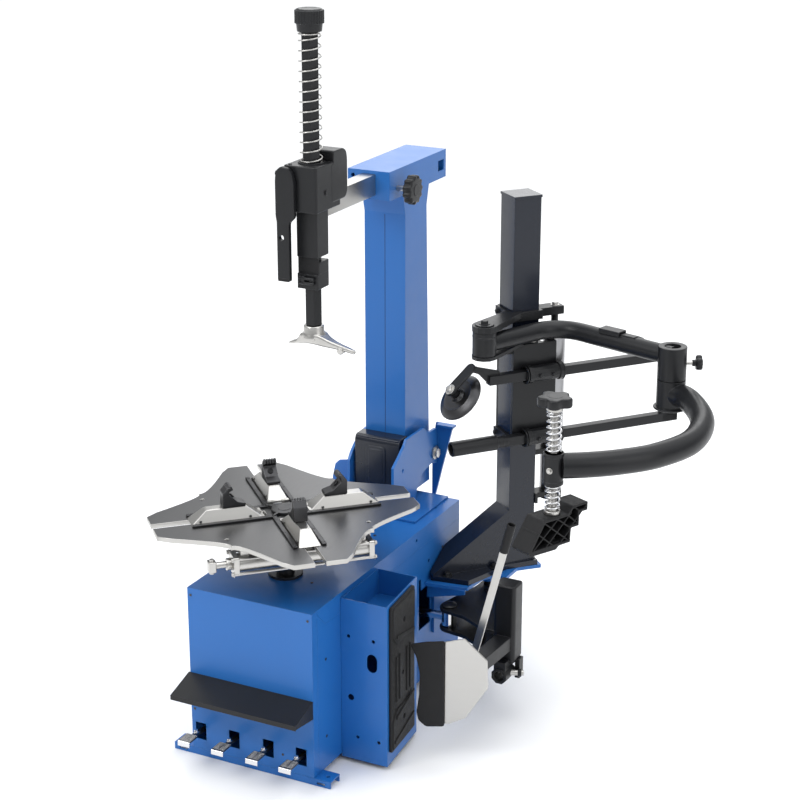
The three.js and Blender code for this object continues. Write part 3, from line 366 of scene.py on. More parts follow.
def plate(bm, points, depth, origin=(0, 0, 0), u=AXIS_X, v=AXIS_Y, holes=(), ease=0.0, rim=1.0,
          mat=0, edge_mat=None):
    """Flat body from an outline and its holes, raised along u x v, with rounded rims."""
    edge_mat = mat if edge_mat is None else edge_mat
    origin, u, v = Vector(origin), Vector(u), Vector(v)
    w = u.cross(v)
    outer = soften([Vector(p) for p in points], ease)
    if area_of(outer) < 0:
        outer.reverse()
    loops = [outer]
    for hole in holes:
        hole = [Vector(p) for p in hole]
        if area_of(hole) > 0:
            hole.reverse()
        loops.append(hole)
    levels = [(rim, 0), (0.29 * rim, 0.29 * rim), (0, rim),
              (0, depth - rim), (0.29 * rim, depth - 0.29 * rim), (rim, depth)]
    made = []
    for loop in loops:
        rings = []
        for shrink, height in levels:
            flat = inset(loop, shrink) if shrink else loop
            rings.append([bm.verts.new(origin + u * p.x + v * p.y + w * height) for p in flat])
        for a, b in zip(rings, rings[1:]):
            for i in range(len(a)):
                j = (i + 1) % len(a)
                bm.faces.new((a[i], a[j], b[j], b[i])).material_index = edge_mat
        made.append((rings[0], rings[-1], inset(loop, rim)))
    corners = tessellate_polygon([[Vector((p.x, p.y, 0)) for p in flat] for _, _, flat in made])
    low = [vert for ring, _, _ in made for vert in ring]
    high = [vert for _, ring, _ in made for vert in ring]
    for a, b, c in corners:
        for trio, up in (((low[a], low[b], low[c]), -1), ((high[a], high[b], high[c]), 1)):
            facing = (trio[1].co - trio[0].co).cross(trio[2].co - trio[0].co).dot(w)
            if abs(facing) < 1e-9:
                continue
            trio = trio if facing * up > 0 else trio[::-1]
            try:
                bm.faces.new(trio).material_index = mat
            except ValueError:
                continue


def block(bm, x0, x1, y0, y1, z0, z1, rim=1.0, mat=0, ease=0.0):
    plate(bm, [(x0, y0), (x1, y0), (x1, y1), (x0, y1)], z1 - z0, (0, 0, z0), rim=rim, mat=mat,
          ease=ease)


def lobed(radius, depth, lobes, steps=96):
    out = []
    for i in range(steps):
        angle = 2 * math.pi * i / steps
        wave = 0.5 - 0.5 * math.cos(lobes * angle)
        out.append(Vector(((radius - depth * wave ** 1.4) * math.cos(angle),
                           (radius - depth * wave ** 1.4) * math.sin(angle))))
    return out


def coil(bm, base, height, radius, turns, wire, lead=0.8, mat=0):
    """Compression spring along +Z with closed end turns."""
    base = Vector(base)
    total = turns + 2 * lead
    steps = int(total * 30)
    path = []
    for i in range(steps + 1):
        done = total * i / steps
        if done < lead:
            z = wire + 2 * wire * done
        elif done > total - lead:
            z = height - wire - 2 * wire * (total - done)
        else:
            low, high = wire + 2 * wire * lead, height - wire - 2 * wire * lead
            z = low + (high - low) * (done - lead) / turns
        angle = 2 * math.pi * done
        path.append(base + Vector((radius * math.cos(angle), radius * math.sin(angle), z)))
    sweep(bm, path, wire, 10, mat)


def link_outline(a, ra, b, rb, steps=18):
    """Bar with round ends."""
    a, b = Vector(a), Vector(b)
    heading = math.atan2(b.y - a.y, b.x - a.x)
    spread = math.acos((ra - rb) / (b - a).length)
    out = []
    for i in range(steps + 1):
        angle = heading + spread + (2 * math.pi - 2 * spread) * i / steps
        out.append(a + Vector((ra * math.cos(angle), ra * math.sin(angle))))
    for i in range(steps + 1):
        angle = heading - spread + 2 * spread * i / steps
        out.append(b + Vector((rb * math.cos(angle), rb * math.sin(angle))))
    return out


def piece(name, bm, mats, body, replaces=(), matrix=None, smooth=50, stretch=None):
    """Finishes a mesh: places it in the row frame, shades it and lets it ride on its body,
    or, when stretch is given, bakes it in place on no body; the points in stretch are not used."""
    bm.transform(TO_ROW @ matrix if matrix else TO_ROW)
    bmesh.ops.recalc_face_normals(bm, faces=bm.faces)
    mesh = bpy.data.meshes.new(name)
    bm.to_mesh(mesh)
    bm.free()
    for polygon in mesh.polygons:
        polygon.use_smooth = True
    mesh.set_sharp_from_angle(angle=math.radians(smooth))
    for mat in mats:
        mesh.materials.append(mat)
    obj = bpy.data.objects.new(name, mesh)
    bpy.context.scene.collection.objects.link(obj)
    weights = obj.modifiers.new("weights", "WEIGHTED_NORMAL")
    weights.keep_sharp = True
    if stretch:
        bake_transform(obj)
    else:
        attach(obj, body)
    if replaces:
        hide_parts(*replaces)
    return obj


def about_z(degrees):
    return Matrix.Rotation(math.radians(degrees), 4, "Z")


# ------------------------------------------------------------------ turntable
LOBE, WAIST = 347, 262
JAW_ANGLES = (45, 135, 225, 315)
TABLE_BOTTOM, TABLE_TOP = 648, 660


def curve_points(p0, p1, p2, p3, steps=12):
    p0, p1, p2, p3 = (Vector(p) for p in (p0, p1, p2, p3))
    return [p0 * (1 - t) ** 3 + p1 * 3 * t * (1 - t) ** 2 + p2 * 3 * t * t * (1 - t) + p3 * t ** 3
            for t in (i / steps for i in range(1, steps))]


def table_outline():
    """Four lobes with an open slot each, joined by hollow waists."""
    out = []
    corner = LOBE / math.cos(math.radians(11))
    for angle in JAW_ANGLES:
        turned = about_z(angle)
        slot = [(LOBE, -14), (LOBE - 2, -14), (50, -14), (50, 14), (LOBE - 2, 14), (LOBE, 14)]
        out += [Vector(polar(330, angle - 16)), Vector(polar(corner, angle - 11))]
        out += [(turned @ Vector((x, y, 0))).to_2d() for x, y in slot]
        out += [Vector(polar(corner, angle + 11)), Vector(polar(330, angle + 16))]
        middle, low = polar(WAIST - 22, angle + 45), polar(WAIST, angle + 45)
        out += curve_points(polar(330, angle + 16), polar(275, angle + 28), middle, low)
        out.append(Vector(low))
        out += curve_points(low, middle, polar(275, angle + 62), polar(330, angle + 74))
    return out


bm = bmesh.new()
table_holes = [circle(*polar(232, a), 5) for a in (8, 82, 188, 262)]
plate(bm, table_outline(), TABLE_TOP - TABLE_BOTTOM, (0, 0, TABLE_BOTTOM), holes=table_holes,
      rim=1.2, mat=0, edge_mat=1)
piece("clamping_table", bm, [TABLE, STEEL], "turntable", ["turntable_plate"])

bm = bmesh.new()
drum(bm, (0, 0, 660.3), AXIS_Z, 34, 7.4, 1.5)
drum(bm, (0, 0, 667.4), AXIS_Z, 17, 1.6, 0.6)
for angle in JAW_ANGLES:
    turned = about_z(angle)
    across = turned @ AXIS_Y
    along = turned @ AXIS_X
    for side in (37, -37):
        strip = [(31, side - 6), (250, side - 6), (250, side + 6), (31, side + 6)]
        plate(bm, strip, 5.5, (0, 0, 660.3), along, across, ease=3, rim=1.2)
        for reach in (60, 150, 238):
            drum(bm, along * reach + across * side + AXIS_Z * 665.5, AXIS_Z, 3.6, 1.4, 0.5, 16)
    web = about_z(angle + 45)
    plate(bm, [(20, -3.5), (53, -3.5), (53, 3.5), (20, 3.5)], 8, (0, 0, 660.3), web @ AXIS_X,
          web @ AXIS_Y, rim=0.8)
piece("hub_strips", bm, [DARK], "turntable", ["hub_cover"])


def tapered(bm, low, high, z0, z1, rim, mat=0, steps=4):
    """Long block whose sides lean in, with eased top edges."""
    rings = []
    for t, shrink in ((0, 0), (0.04, 0), (1 - 0.08, 0), (1 - 0.025, rim * 0.35), (1, rim)):
        x0 = low[0] + (high[0] - low[0]) * t + shrink * 1.6
        x1 = low[1] + (high[1] - low[1]) * t - shrink * 1.6
        half = low[2] + (high[2] - low[2]) * t - shrink
        z = z0 + (z1 - z0) * t
        outline = soften([(x0, -half), (x1, -half), (x1, half), (x0, half)], 3.5, steps)
        rings.append([Vector((p.x, p.y, z)) for p in outline])
    loft(bm, rings, mat)


for i, angle in enumerate(JAW_ANGLES, 1):
    bm = bmesh.new()
    tapered(bm, (60, 250, 29), (103, 208, 14), 660.4, 693, 3)
    plate(bm, [(56, -29), (70, -29), (58, 0), (70, 29), (56, 29)], 5, (3, 0, 660.5), rim=0.8)
    block(bm, 110, 190, -13, 13, 640, 662, 0.8)
    block(bm, 105, 195, -22, 22, 637, 647.4, 1.2)
    for reach in (96, 226):
        drum(bm, (reach, -27.5, 668), (0, -1, 0.35), 3.4, 2.0, 0.6, 16, 1)
        drum(bm, (reach, 27.5, 668), (0, 1, 0.35), 3.4, 2.0, 0.6, 16, 1)
    piece(f"jaw_slide_body_{i}", bm, [STEEL, DARK], f"jaw_{i}", [f"jaw_slide_{i}"],
          about_z(angle))
    bm = bmesh.new()
    hook = [(105, 693.4), (165, 693.4), (165, 731), (151, 747), (143, 747), (149, 729), (128, 708),
            (105, 701)]
    plate(bm, hook, 36, (0, 18, 0), AXIS_X, AXIS_Z, ease=2.5, rim=1.4)
    for y in (-14, -7, 0, 7, 14):
        plate(bm, [(137, 740), (147, 735), (154, 746), (148, 751), (141, 750.5)], 5.2,
              (0, y + 2.6, 0), AXIS_X, AXIS_Z, ease=1.2, rim=1.0)
    bored(bm, (138.4, 0, 719.4), (-0.7, 0, 0.72), 7.6, 5.2, 2.6, 0.6, 24, 1)
    drum(bm, (138.2, 0, 719.2), (-0.7, 0, 0.72), 5.3, 1.2, 0.3, 24, 2)
    piece(f"jaw_hook_{i}", bm, [DARK, BLACK, RUBBER], f"jaw_{i}", [f"jaw_grip_{i}"],
          about_z(angle))

for tag, side in (("a", -1), ("b", 1)):
    bm = bmesh.new()
    mid_z, off = 606.5, 170 * side
    turn(bm, (-176, off, mid_z), AXIS_X, [(20, 0), (25.5, 3), (25.5, 349), (20, 352)], 48)
    for u0 in (-182, 168):
        plate(bm, [(off - 32, 583), (off + 32, 583), (off + 32, 633), (off - 32, 633)], 14,
              (u0, 0, 0), AXIS_Y, AXIS_Z, ease=5, rim=1.4)
    for v in (-28, 28):
        for z in (588.5, 627):
            if z > mid_z:
                turn(bm, (-186, off + v, z), AXIS_X, [(3.4, 0), (3.6, 1), (3.6, 371), (3.4, 372)], 14)
            else:
                turn(bm, (-187, off + v, z), AXIS_X, [(4.2, 0), (4.5, 1), (4.5, 373), (4.2, 374)], 14)
            for u0, way in ((-182, -1), (182, 1)):
                hex_head(bm, (u0, off + v, z), (way, 0, 0), 10, 5, 0, 1)
    for u0 in (-162, 142):
        block(bm, u0, u0 + 20, off - 18, off + 18, 630, 647.5, 1.0)
    turn(bm, (-228, off, mid_z), AXIS_X, [(8.6, 0), (9, 1), (9, 50), (9, 51)], 24)
    drum(bm, (-196, off, mid_z), AXIS_X, 16, 14, 2, 32)
    drum(bm, (182, off, mid_z), AXIS_X, 15, 4, 1, 32)
    plate(bm, [(-242, off - 14), (-222, off - 14), (-222, off + 14), (-242, off + 14)], 28,
          (0, 0, mid_z - 14), ease=5, rim=2)
    turn(bm, (-232, off, 586), AXIS_Z, [(5, 0), (6, 1), (6, 39), (5, 40)], 20)
    for u0 in (-140, 140):
        hex_head(bm, (u0, off - side * 25, mid_z), (0, -side, 0), 11, 5, 0, 1.2)
    piece(f"clamp_cylinder_body_{tag}", bm, [STEEL], "turntable",
          [f"clamp_cylinder_{tag}"], about_z(45))

# ------------------------------------------------------------------ mounting head
SHAFT_Y = 169
SPRING_LOW, SPRING_LENGTH = 1542.2, 324.6
HEX_CORNER = 41 / math.sqrt(3)
bm = bmesh.new()
head_outline = [(45, 112), (-18, 112), (-50, 138), (-50, 239), (45, 239)]
plate(bm, head_outline, 117, (0, 0, 1424), ease=7, rim=2.5)
plate(bm, [(44, 112.7), (-49, 112.7), (-49, 146), (44, 146)], 34.6, (0, 0, 1507), ease=6, rim=2)
rear = [(190, 1438), (262, 1438), (274, 1452), (274, 1540), (269, 1558), (254, 1568), (201, 1568),
        (201, 1536), (190, 1536)]
plate(bm, rear, 90.2, (-44.5, 0, 0), AXIS_Y, AXIS_Z, ease=9, rim=2.5)
plate(bm, soften([(-30, 139), (30, 139), (30, 199.2), (-30, 199.2)], 3), 128, (0, 0, 1302),
      holes=[circle(0, SHAFT_Y, 24.2, 6)], rim=1.2)
plate(bm, soften([(-30, 146), (30, 146), (30, 199.2), (-30, 199.2)], 3), 31, (0, 0, 1258),
      holes=[circle(0, SHAFT_Y, 24.2, 6)], rim=1.0)
plate(bm, soften([(-30, 139), (30, 139), (30, 199.2), (-30, 199.2)], 3), 40, (0, 0, 1218.5),
      holes=[circle(0, SHAFT_Y, 24.2, 6)], rim=1.2)
block(bm, -29, 29, 144, 148, 1256, 1304, 0.6, 1)
for z in (1236, 1248):
    turn(bm, (-22, 133, z), AXIS_X, [(3.5, 0), (4.2, 1), (4.2, 43), (3.5, 44)], 18)
block(bm, -15, -5, 131, 140, 1231, 1254, 1.2)
drum(bm, (14, 139, 1242), (0, -1, 0), 6.5, 5, 1.2, 24)
bored(bm, (0, SHAFT_Y, 1541), AXIS_Z, 34.5, 30.4, 4, 0.8, 40)
for x, y in ((-38, 128), (34, 126), (-36, 226)):
    drum(bm, (x, y, 1541), AXIS_Z, 5, 2.2, 0.7, 20)
hex_head(bm, (45, 160, 1470), AXIS_X, 10, 2.2, 0, 0.8)
plate(bm, [(60, 1532), (86, 1532), (86, 1548), (60, 1548)], 3, (-3, 92, 0), AXIS_Y, AXIS_Z, rim=0.5)
piece("head_body", bm, [BLACK, RUBBER], "arm", ["head_housing"])

bm = bmesh.new()
lever = [(-63, 1243), (-28, 1243), (-28, 1396), (-12, 1412), (-12, 1500), (-16, 1522), (-28, 1537),
         (-50, 1540), (-63, 1528), (-66, 1505), (-66, 1412), (-63, 1398)]
plate(bm, lever, 15.4, (0, 111.7, 0), AXIS_X, AXIS_Z, holes=[circle(-50, 1357, 7)], ease=6, rim=2.4)
plate(bm, [(-61, 1244), (-30, 1244), (-30, 1252), (-61, 1252)], 17, (0, 112, 0), AXIS_X, AXIS_Z,
      ease=2, rim=0.8, mat=1)
turn(bm, (-66, 104, 1521), AXIS_X, [(5, 0), (7, 1), (7, 46), (5, 47)], 24)
piece("lock_lever", bm, [BLACK, RUBBER], "lock_handle", ["lock_handle"])

bm = bmesh.new()
shaft_levels = [(HEX_CORNER - 3, 1117.4), (HEX_CORNER, 1120), (HEX_CORNER, 1866),
                (HEX_CORNER - 2, 1867.6)]
rings = []
for radius, z in shaft_levels:
    outline = soften([polar(radius, 60 * k) for k in range(6)], 1.6, 3)
    rings.append([Vector((p.x, p.y + SHAFT_Y, z)) for p in outline])
loft(bm, rings)
piece("hex_bar", bm, [BLACK], "mounting_shaft", ["hex_shaft"])

bm = bmesh.new()
turn(bm, (0, SHAFT_Y, 1868), AXIS_Z, [(27, 0), (31, 1.5), (33, 20), (33.5, 21)], 48)
plate(bm, lobed(37, 1.8, 30, 240), 33, (0, SHAFT_Y, 1888.5), rim=2.2)
turn(bm, (0, SHAFT_Y, 1921), AXIS_Z, [(33, 0), (32, 2.4), (29, 3.6), (22, 3.9), (20, 3.2)], 48)
piece("knurled_cap", bm, [BLACK], "mounting_shaft", ["shaft_cap"])

bm = bmesh.new()
coil(bm, (0, SHAFT_Y, SPRING_LOW), SPRING_LENGTH, 27.4, 12.4, 2.0)
spring = piece("return_spring", bm, [STEEL], "mounting_shaft", ["shaft_spring"])
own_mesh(spring)

bm = bmesh.new()
turn(bm, (0, SHAFT_Y, 1086), AXIS_Z,
     [(31, 0), (30, 9), (27, 12), (26.6, 27), (24.5, 30.5), (21, 31)], 40)
BILL = [
    (-70, 11, 1060, 1063), (-58, 15, 1061, 1068), (-45, 17, 1064, 1074), (-36, 21, 1066, 1084),
    (-28, 25, 1068, 1095), (-10, 27, 1071, 1098), (10, 27, 1071, 1098), (25, 25, 1069, 1096),
    (33, 20, 1066, 1091), (44, 16, 1064, 1085), (60, 13, 1062, 1079), (80, 10, 1059, 1073),
    (100, 8, 1056, 1068), (118, 6, 1053, 1063),
]
rings = []
for x, half, z0, z1 in BILL:
    section = soften([(-half, z0), (half, z0), (half, z1), (-half, z1)], min(6, (z1 - z0) * 0.4), 4)
    rings.append([Vector((x, SHAFT_Y + p.x, p.y)) for p in section])
loft(bm, rings)
turn(bm, (82, 155, 1059), AXIS_Y, [(7, 0), (9, 2), (9, 26), (7, 28)], 28)
drum(bm, (82, 182, 1059), AXIS_Y, 5, 4, 1, 24)
turn(bm, (114, SHAFT_Y, 1058), AXIS_X, [(5.4, 0), (6, 1), (5, 5), (3, 6.4)], 20)
for x, z in ((-12, 1084), (14, 1084)):
    drum(bm, (x, 142.4, z), (0, -1, 0), 3.6, 1.4, 0.5, 18)
piece("duck_bill", bm, [STEEL], "mounting_shaft", ["mount_head"], smooth=60)

# ------------------------------------------------------------------ column trim
bm = bmesh.new()
cover = [(514, 531.5), (567, 531.5), (567, 692.5), (527, 692.5), (518, 688), (514, 678)]
plate(bm, cover, 140, (-70, 0, 0), AXIS_Y, AXIS_Z, ease=4, rim=2.4)
plate(bm, [(-34, 545), (28, 545), (28, 667), (-34, 667)], 3, (0, 514.2, 0), AXIS_X, AXIS_Z, ease=10,
      rim=1.2)
plate(bm, [(-25, 554), (19, 554), (19, 658), (-25, 658)], 2, (0, 511.8, 0), AXIS_X, AXIS_Z, ease=8,
      rim=0.8)
turn(bm, (-68, 519, 688.5), AXIS_X, [(2.2, 0), (3.4, 1.4), (3.4, 134.6), (2.2, 136)], 18)
# The column cover uses the gloss black with the painted blue reflection tint.
piece("column_guard", bm, [BLUE_REFLECTION_BLACK], "column", ["column_cover"])
bm = bmesh.new()
# A thin dark strip set proud on the column's front instead of a cut groove: painted shade of that
# groove.
block(bm, -0.8, 0.8, 567.1, 567.7, 693.5, 1322, 0.1)
piece("column_groove_shade", bm, [GROOVE_SHADE], "column")


def star_knob(name, body, node, base, axis, radius, thick, lobes, bolt_from, bolt, depth=0.24):
    """Hand knob with round lobes, a hub and its threaded bolt."""
    u, v, w = basis(axis)
    bm = bmesh.new()
    base = Vector(base)
    outline = lobed(radius, radius * depth, lobes, lobes * 14)
    plate(bm, outline, thick, base, u, v, rim=min(5.0, thick * 0.3))
    drum(bm, base + w * (thick - 0.5), axis, radius * 0.42, 2.0, 0.9)
    reach = (base - Vector(bolt_from)).length
    turn(bm, bolt_from, axis, [(bolt - 0.8, 0), (bolt, 0.8), (bolt, reach), (bolt, reach + 1)], 20, 1)
    drum(bm, base - w * 9, axis, radius * 0.42, 9.5, 1.0)
    piece(name, bm, [BLACK, STEEL], body, [node])


star_knob("column_star_knob", "arm_lock_knob", "arm_lock_knob", (95, 521, 1411), AXIS_X, 40, 25, 11,
          (52, 521, 1411), 7.5, 0.13)
star_knob("elbow_star_knob", "elbow_knob", "elbow_knob", (871, 655, 1000), (16, 8.2, 0), 21, 17, 5,
          (836, 637.2, 1000), 5)
bm = bmesh.new()
plate(bm, lobed(43, 10, 5), 24, (751, -15, 1071.4), rim=5)
drum(bm, (751, -15, 1094), AXIS_Z, 18, 1.9, 0.8)
piece("press_star_knob", bm, [BLACK], "screw_knob", ["screw_knob"])

# ------------------------------------------------------------------ helper arms
BARREL = (333, 500)
ELBOW = (816, 627)
PRESS = (751, -15)
bm = bmesh.new()
sweep(bm, bent([(*BARREL, 1019), (447, 740, 1019), (*ELBOW, 1019)], 90, 14), 25, 32)
bored(bm, (*BARREL, 989.2), AXIS_Z, 32, 14.6, 65.6, 1.6, 48)
bored(bm, (*BARREL, 1040), AXIS_Z, 32.8, 28, 3, 0.8, 48)
bored(bm, (*ELBOW, 957.6), AXIS_Z, 38, 20.8, 89.2, 1.6, 56)
loop = bent([(560, 700, 1019), (574, 758, 1019), (706, 722, 1019), (700, 664, 1019)], 26, 8)
sweep(bm, loop, 8, 18)
tab_u = Vector((0.968, -0.25, 0)).normalized()
tab_v = Vector((0.25, 0.968, 0)).normalized()
plate(bm, [(0, -17), (66, -17), (66, 17), (0, 17)], 4, (594, 690, 1048), tab_u, tab_v, ease=2, rim=0.9)
plate(bm, [(0, -17), (66, -17), (66, -13), (0, -13)], 12, (594, 690, 1038), tab_u, tab_v, rim=0.8)
plate(bm, [(0, 13), (66, 13), (66, 17), (0, 17)], 12, (594, 690, 1038), tab_u, tab_v, rim=0.8)
plate(bm, [(60, -11), (112, -11), (112, 11), (60, 11)], 9, (594, 690, 1037), tab_u, tab_v, ease=3,
      rim=1.2)
piece("upper_tube_arm", bm, [BLACK], "swing_arm", ["swing_arm"])

bm = bmesh.new()
run = [(*ELBOW, 920), (884, 580, 920), (965, 443, 920), (988, 290, 920), (945, 162, 920),
       (884, 84, 920), (822, 30, 920), (768, -5, 920)]
sweep(bm, spline(run, 8), 31, 36)
bored(bm, (*ELBOW, 880.2), AXIS_Z, 38, 20.4, 76.4, 1.6, 56)
bored(bm, (*ELBOW, 876), AXIS_Z, 45, 20.4, 6, 1.6, 56)
turn(bm, (*ELBOW, 884), AXIS_Z, [(18, 0), (20, 1.5), (20, 144), (17, 146)], 40)
bored(bm, (*PRESS, 875), AXIS_Z, 24, 10.6, 80, 1.6, 48)
for z in (875, 946):
    bored(bm, (*PRESS, z), AXIS_Z, 25.2, 11, 9, 1.0, 48)
hex_head(bm, (751, -39, 915), (0, -1, 0), 10, 6, 1, 1.0)
piece("lower_tube_arm", bm, [BLACK, STEEL], "press_arm", ["press_arm"])

bm = bmesh.new()
profile = [(8.0, 0)]
for k in range(int(262 / 3)):
    profile += [(10, 1.0 + 3 * k), (8.8, 2.5 + 3 * k)]
turn(bm, (*PRESS, 801), AXIS_Z, profile, 20)
drum(bm, (*PRESS, 799.5), AXIS_Z, 20, 9, 1.2)
drum(bm, (*PRESS, 1060), AXIS_Z, 20, 10.4, 1.2)
hex_head(bm, (*PRESS, 808), AXIS_Z, 24, 9, 0, 1)
piece("threaded_screw", bm, [STEEL], "press_screw", ["press_screw"])
bm = bmesh.new()
coil(bm, (*PRESS, 956), 103.5, 16.6, 6.2, 2.4)
piece("upper_spring_wire", bm, [CHROME], "press_arm", ["upper_press_spring"],
      stretch=("press_screw", (*PRESS, 956), (*PRESS, 1059.5)))
bm = bmesh.new()
coil(bm, (*PRESS, 810), 64, 16.6, 3.6, 2.4)
piece("lower_spring_wire", bm, [CHROME], "press_arm", ["lower_press_spring"],
      stretch=("press_screw", (*PRESS, 874), (*PRESS, 810)))

WEDGE_TURN = math.radians(24.85)
wedge_face = Vector((math.cos(WEDGE_TURN), -math.sin(WEDGE_TURN), 0))
wedge_along = Vector((math.sin(WEDGE_TURN), math.cos(WEDGE_TURN), 0))


def wedge_slab(bm, points, low, high, **shape):
    """Slice of the wedge between two distances along its face direction from the screw."""
    plate(bm, points, high - low, Vector((*PRESS, 0)) + wedge_face * low, wedge_along, AXIS_Z, **shape)


wedge = [(-98, 728), (-90, 718), (-10, 716), (0, 724), (36, 724), (38, 760), (63, 760), (64, 794),
         (90, 794), (91, 816), (42, 816), (26, 799), (-50, 799)]
pocket = [(-86, 731), (31, 731), (33, 767), (58, 767), (59, 801), (84, 801), (85, 810), (45, 810),
          (29, 793), (-46, 793)]
bm = bmesh.new()
wedge_slab(bm, wedge, -34, -26, ease=3, rim=1.4)
wedge_slab(bm, wedge, -26.4, 28, holes=[pocket], ease=3, rim=1.6)
for y0, z0, y1, z1 in ((-52, 797, 34, 727), (-70, 772, -16, 727), (-10, 797, 37, 760),
                       (26, 797, 62, 765), (46, 814, 66, 796), (-80, 731, 2, 797),
                       (-44, 727, 40, 800), (2, 727, 37, 757), (32, 757, 86, 806)):
    lean = Vector((y1 - y0, z1 - z0)).normalized() * 1.5
    wedge_slab(bm, [(y0 - lean.y, z0 + lean.x), (y0 + lean.y, z0 - lean.x),
                    (y1 + lean.y, z1 - lean.x), (y1 - lean.y, z1 + lean.x)], -27, 26.4, rim=0.6)
turn(bm, (*PRESS, 726), AXIS_Z, [(8, 0), (9, 1), (9, 70), (8, 71)], 28)
hex_head(bm, (*PRESS, 733), -AXIS_Z, 26, 7, 0, 2)
piece("press_wedge", bm, [RUBBER], "press_screw", ["press_block"], smooth=40)

# ------------------------------------------------------------------ helper tower fittings
S, UPPER, LOWER, HALF = 75, 900, 716, 13
bm = bmesh.new()
square = [(-HALF, -HALF), (HALF, -HALF), (HALF, HALF), (-HALF, HALF)]
for t0, z in ((-130, UPPER), (-82, LOWER)):
    plate(bm, soften([(a + S, b + z) for a, b in square], 2.5), 470 - t0, (0, 470, 0), AXIS_X, AXIS_Z,
          rim=1.0)
plate(bm, [(420, LOWER - HALF), (470, LOWER - HALF), (470, UPPER + HALF), (420, UPPER + HALF)], 26,
      (S - HALF, 0, 0), AXIS_Y, AXIS_Z, ease=6, rim=1.5)
for t, z in ((-119, UPPER), (-72, LOWER)):
    drum(bm, (S - HALF + 0.5, t, z), (-1, 0, 0), 3.4, 1.0, 0.3, 18, 1)
bored(bm, (S, -240, LOWER), AXIS_Y, 21, 14, 138, 2.6, 40)
turn(bm, (S, -218, LOWER), AXIS_Y, [(13.9, 0), (14, 0.5), (14, 148), (13.9, 149)], 30)
drum(bm, (S, -102, LOWER), AXIS_Y, 16.5, 20, 1.5, 36)
fold = [(-96, 904), (-96, 923), (-158, 941), (-186, 952), (-198, 944), (-192, 934), (-160, 922),
        (-126, 886)]
plate(bm, fold, 8, (S - 4, 0, 0), AXIS_Y, AXIS_Z, ease=4, rim=1.2)
piece("slide_bars", bm, [BLACK, RUBBER], "slide_frame", ["slide_frame"], HELPER)

DISC_AXIS = Vector((-0.38, -0.65, 0.66)).normalized()
DISC = Vector((265, 482, 868))
STRAP_TOP = Vector((294.5, 495.7, 942.5))
reach = STRAP_TOP - DISC
reach -= DISC_AXIS * reach.dot(DISC_AXIS)
strap_u = reach.normalized()
bm = bmesh.new()
plate(bm, link_outline((0, 0), 17, (reach.length, 0), 17), 7, DISC + DISC_AXIS * 26.5, strap_u,
      DISC_AXIS.cross(strap_u), rim=1.2)
turn(bm, DISC + DISC_AXIS * 11, DISC_AXIS, [(13, 0), (13, 14), (15, 16)], 30)
hex_head(bm, DISC + DISC_AXIS * 33.4, DISC_AXIS, 19, 7, 1, 1.6)
hex_head(bm, DISC - DISC_AXIS * 11.5, -DISC_AXIS, 15, 5, 1, 1.2)
piece("disc_strap", bm, [BLACK, STEEL], "slide_frame")
bm = bmesh.new()
turn(bm, DISC, DISC_AXIS, [(5.4, -11), (18, -11), (20, -6), (34, -3), (48, -4), (60, -9), (67, -13.6),
                           (68.6, -13.2), (69, -11), (67, -8.5), (59, -3), (50, 0.6), (46, 2.6),
                           (43, 1.2), (34, 1.4), (22, 1), (19, 5), (18, 10.4), (5.4, 10.4)], 72,
     hollow=True)
piece("dished_disc", bm, [DARK], "bead_disc", ["bead_disc"])

bm = bmesh.new()
turn(bm, (8, 107, 500), AXIS_Z, [(28, 0), (31, 2), (31, 484), (30, 485)], 48)
drum(bm, (8, 107, 500), AXIS_Z, 32.5, 24, 2, 48, 1)
bored(bm, (8, 107, 980), AXIS_Z, 33, 10.8, 24.6, 2, 48, 1)
for z in (508, 640):
    block(bm, -12, 28, 40.4, 96, z, z + 16, 1.2, 1)
block(bm, -30, 46, 40.4, 48, 500, 530, 1.2, 1)
piece("lift_barrel", bm, [SATIN, BLACK], "base", ["lift_cylinder"], HELPER)

bm = bmesh.new()
for z in (UPPER, LOWER):
    for t in (-15, 96):
        bored(bm, (S, t - 3, z), AXIS_Y, 25.6, 19.5, 4, 1, 40)
    drum(bm, (S - 14, 40, z + 17), (-0.6, 0, 0.8), 4, 1.2, 0.4, 18, 1)
    hex_head(bm, (S + 21.5, 20, z), AXIS_X, 10, 6, 0, 1)
    hex_head(bm, (S + 21.5, 60, z), AXIS_X, 10, 6, 0, 1)
for z in (703, 967, 1057):
    for s in (-34, 34):
        hex_head(bm, (s, -48.6, z), (0, -1, 0), 11, 6, 0, 1)
hub = HELPER.inverted() @ Vector((*BARREL, 0))
drum(bm, (hub.x, hub.y, 1072), AXIS_Z, 26, 3, 1, 40)
hex_head(bm, (hub.x, hub.y, 1075), AXIS_Z, 19, 8, 0, 1.5)
hex_head(bm, (8, 107, 1068), AXIS_Z, 16, 7, 2, 1.2)
hex_head(bm, (62, 12, 988), AXIS_Z, 12, 6, 2, 1.2)
piece("carriage_fittings", bm, [BLACK, RUBBER, STEEL], "carriage", (), HELPER)

# ------------------------------------------------------------------ bead breaker
PIVOT, PIN = (291, 642), (258, 455)
bm = bmesh.new()
arm_plate = [(PIVOT[0] - 22, PIVOT[1] + 18), (PIVOT[0] - 24, PIVOT[1] - 30), (PIN[0] - 26, PIN[1] + 16),
             (PIN[0] - 27, PIN[1] - 10), (PIN[0] - 8, PIN[1] - 30), (320, 414), (400, 368),
             (440, 368), (440, 428), (PIVOT[0] + 32, PIVOT[1] - 14), (PIVOT[0] + 18, PIVOT[1] + 24)]
for z in (186, 244):
    plate(bm, arm_plate, 10, (0, 0, z), holes=[circle(*PIN, 8.2)], ease=12, rim=1.6)
turn(bm, (*PIVOT, 144), AXIS_Z, [(11, 0), (12, 1), (12, 44), (24, 45), (24, 108), (12, 109),
                                 (12, 167), (11, 168)], 40)
turn(bm, (*PIN, 186), AXIS_Z, [(7, 0), (8, 1), (8, 68), (7, 69)], 28)
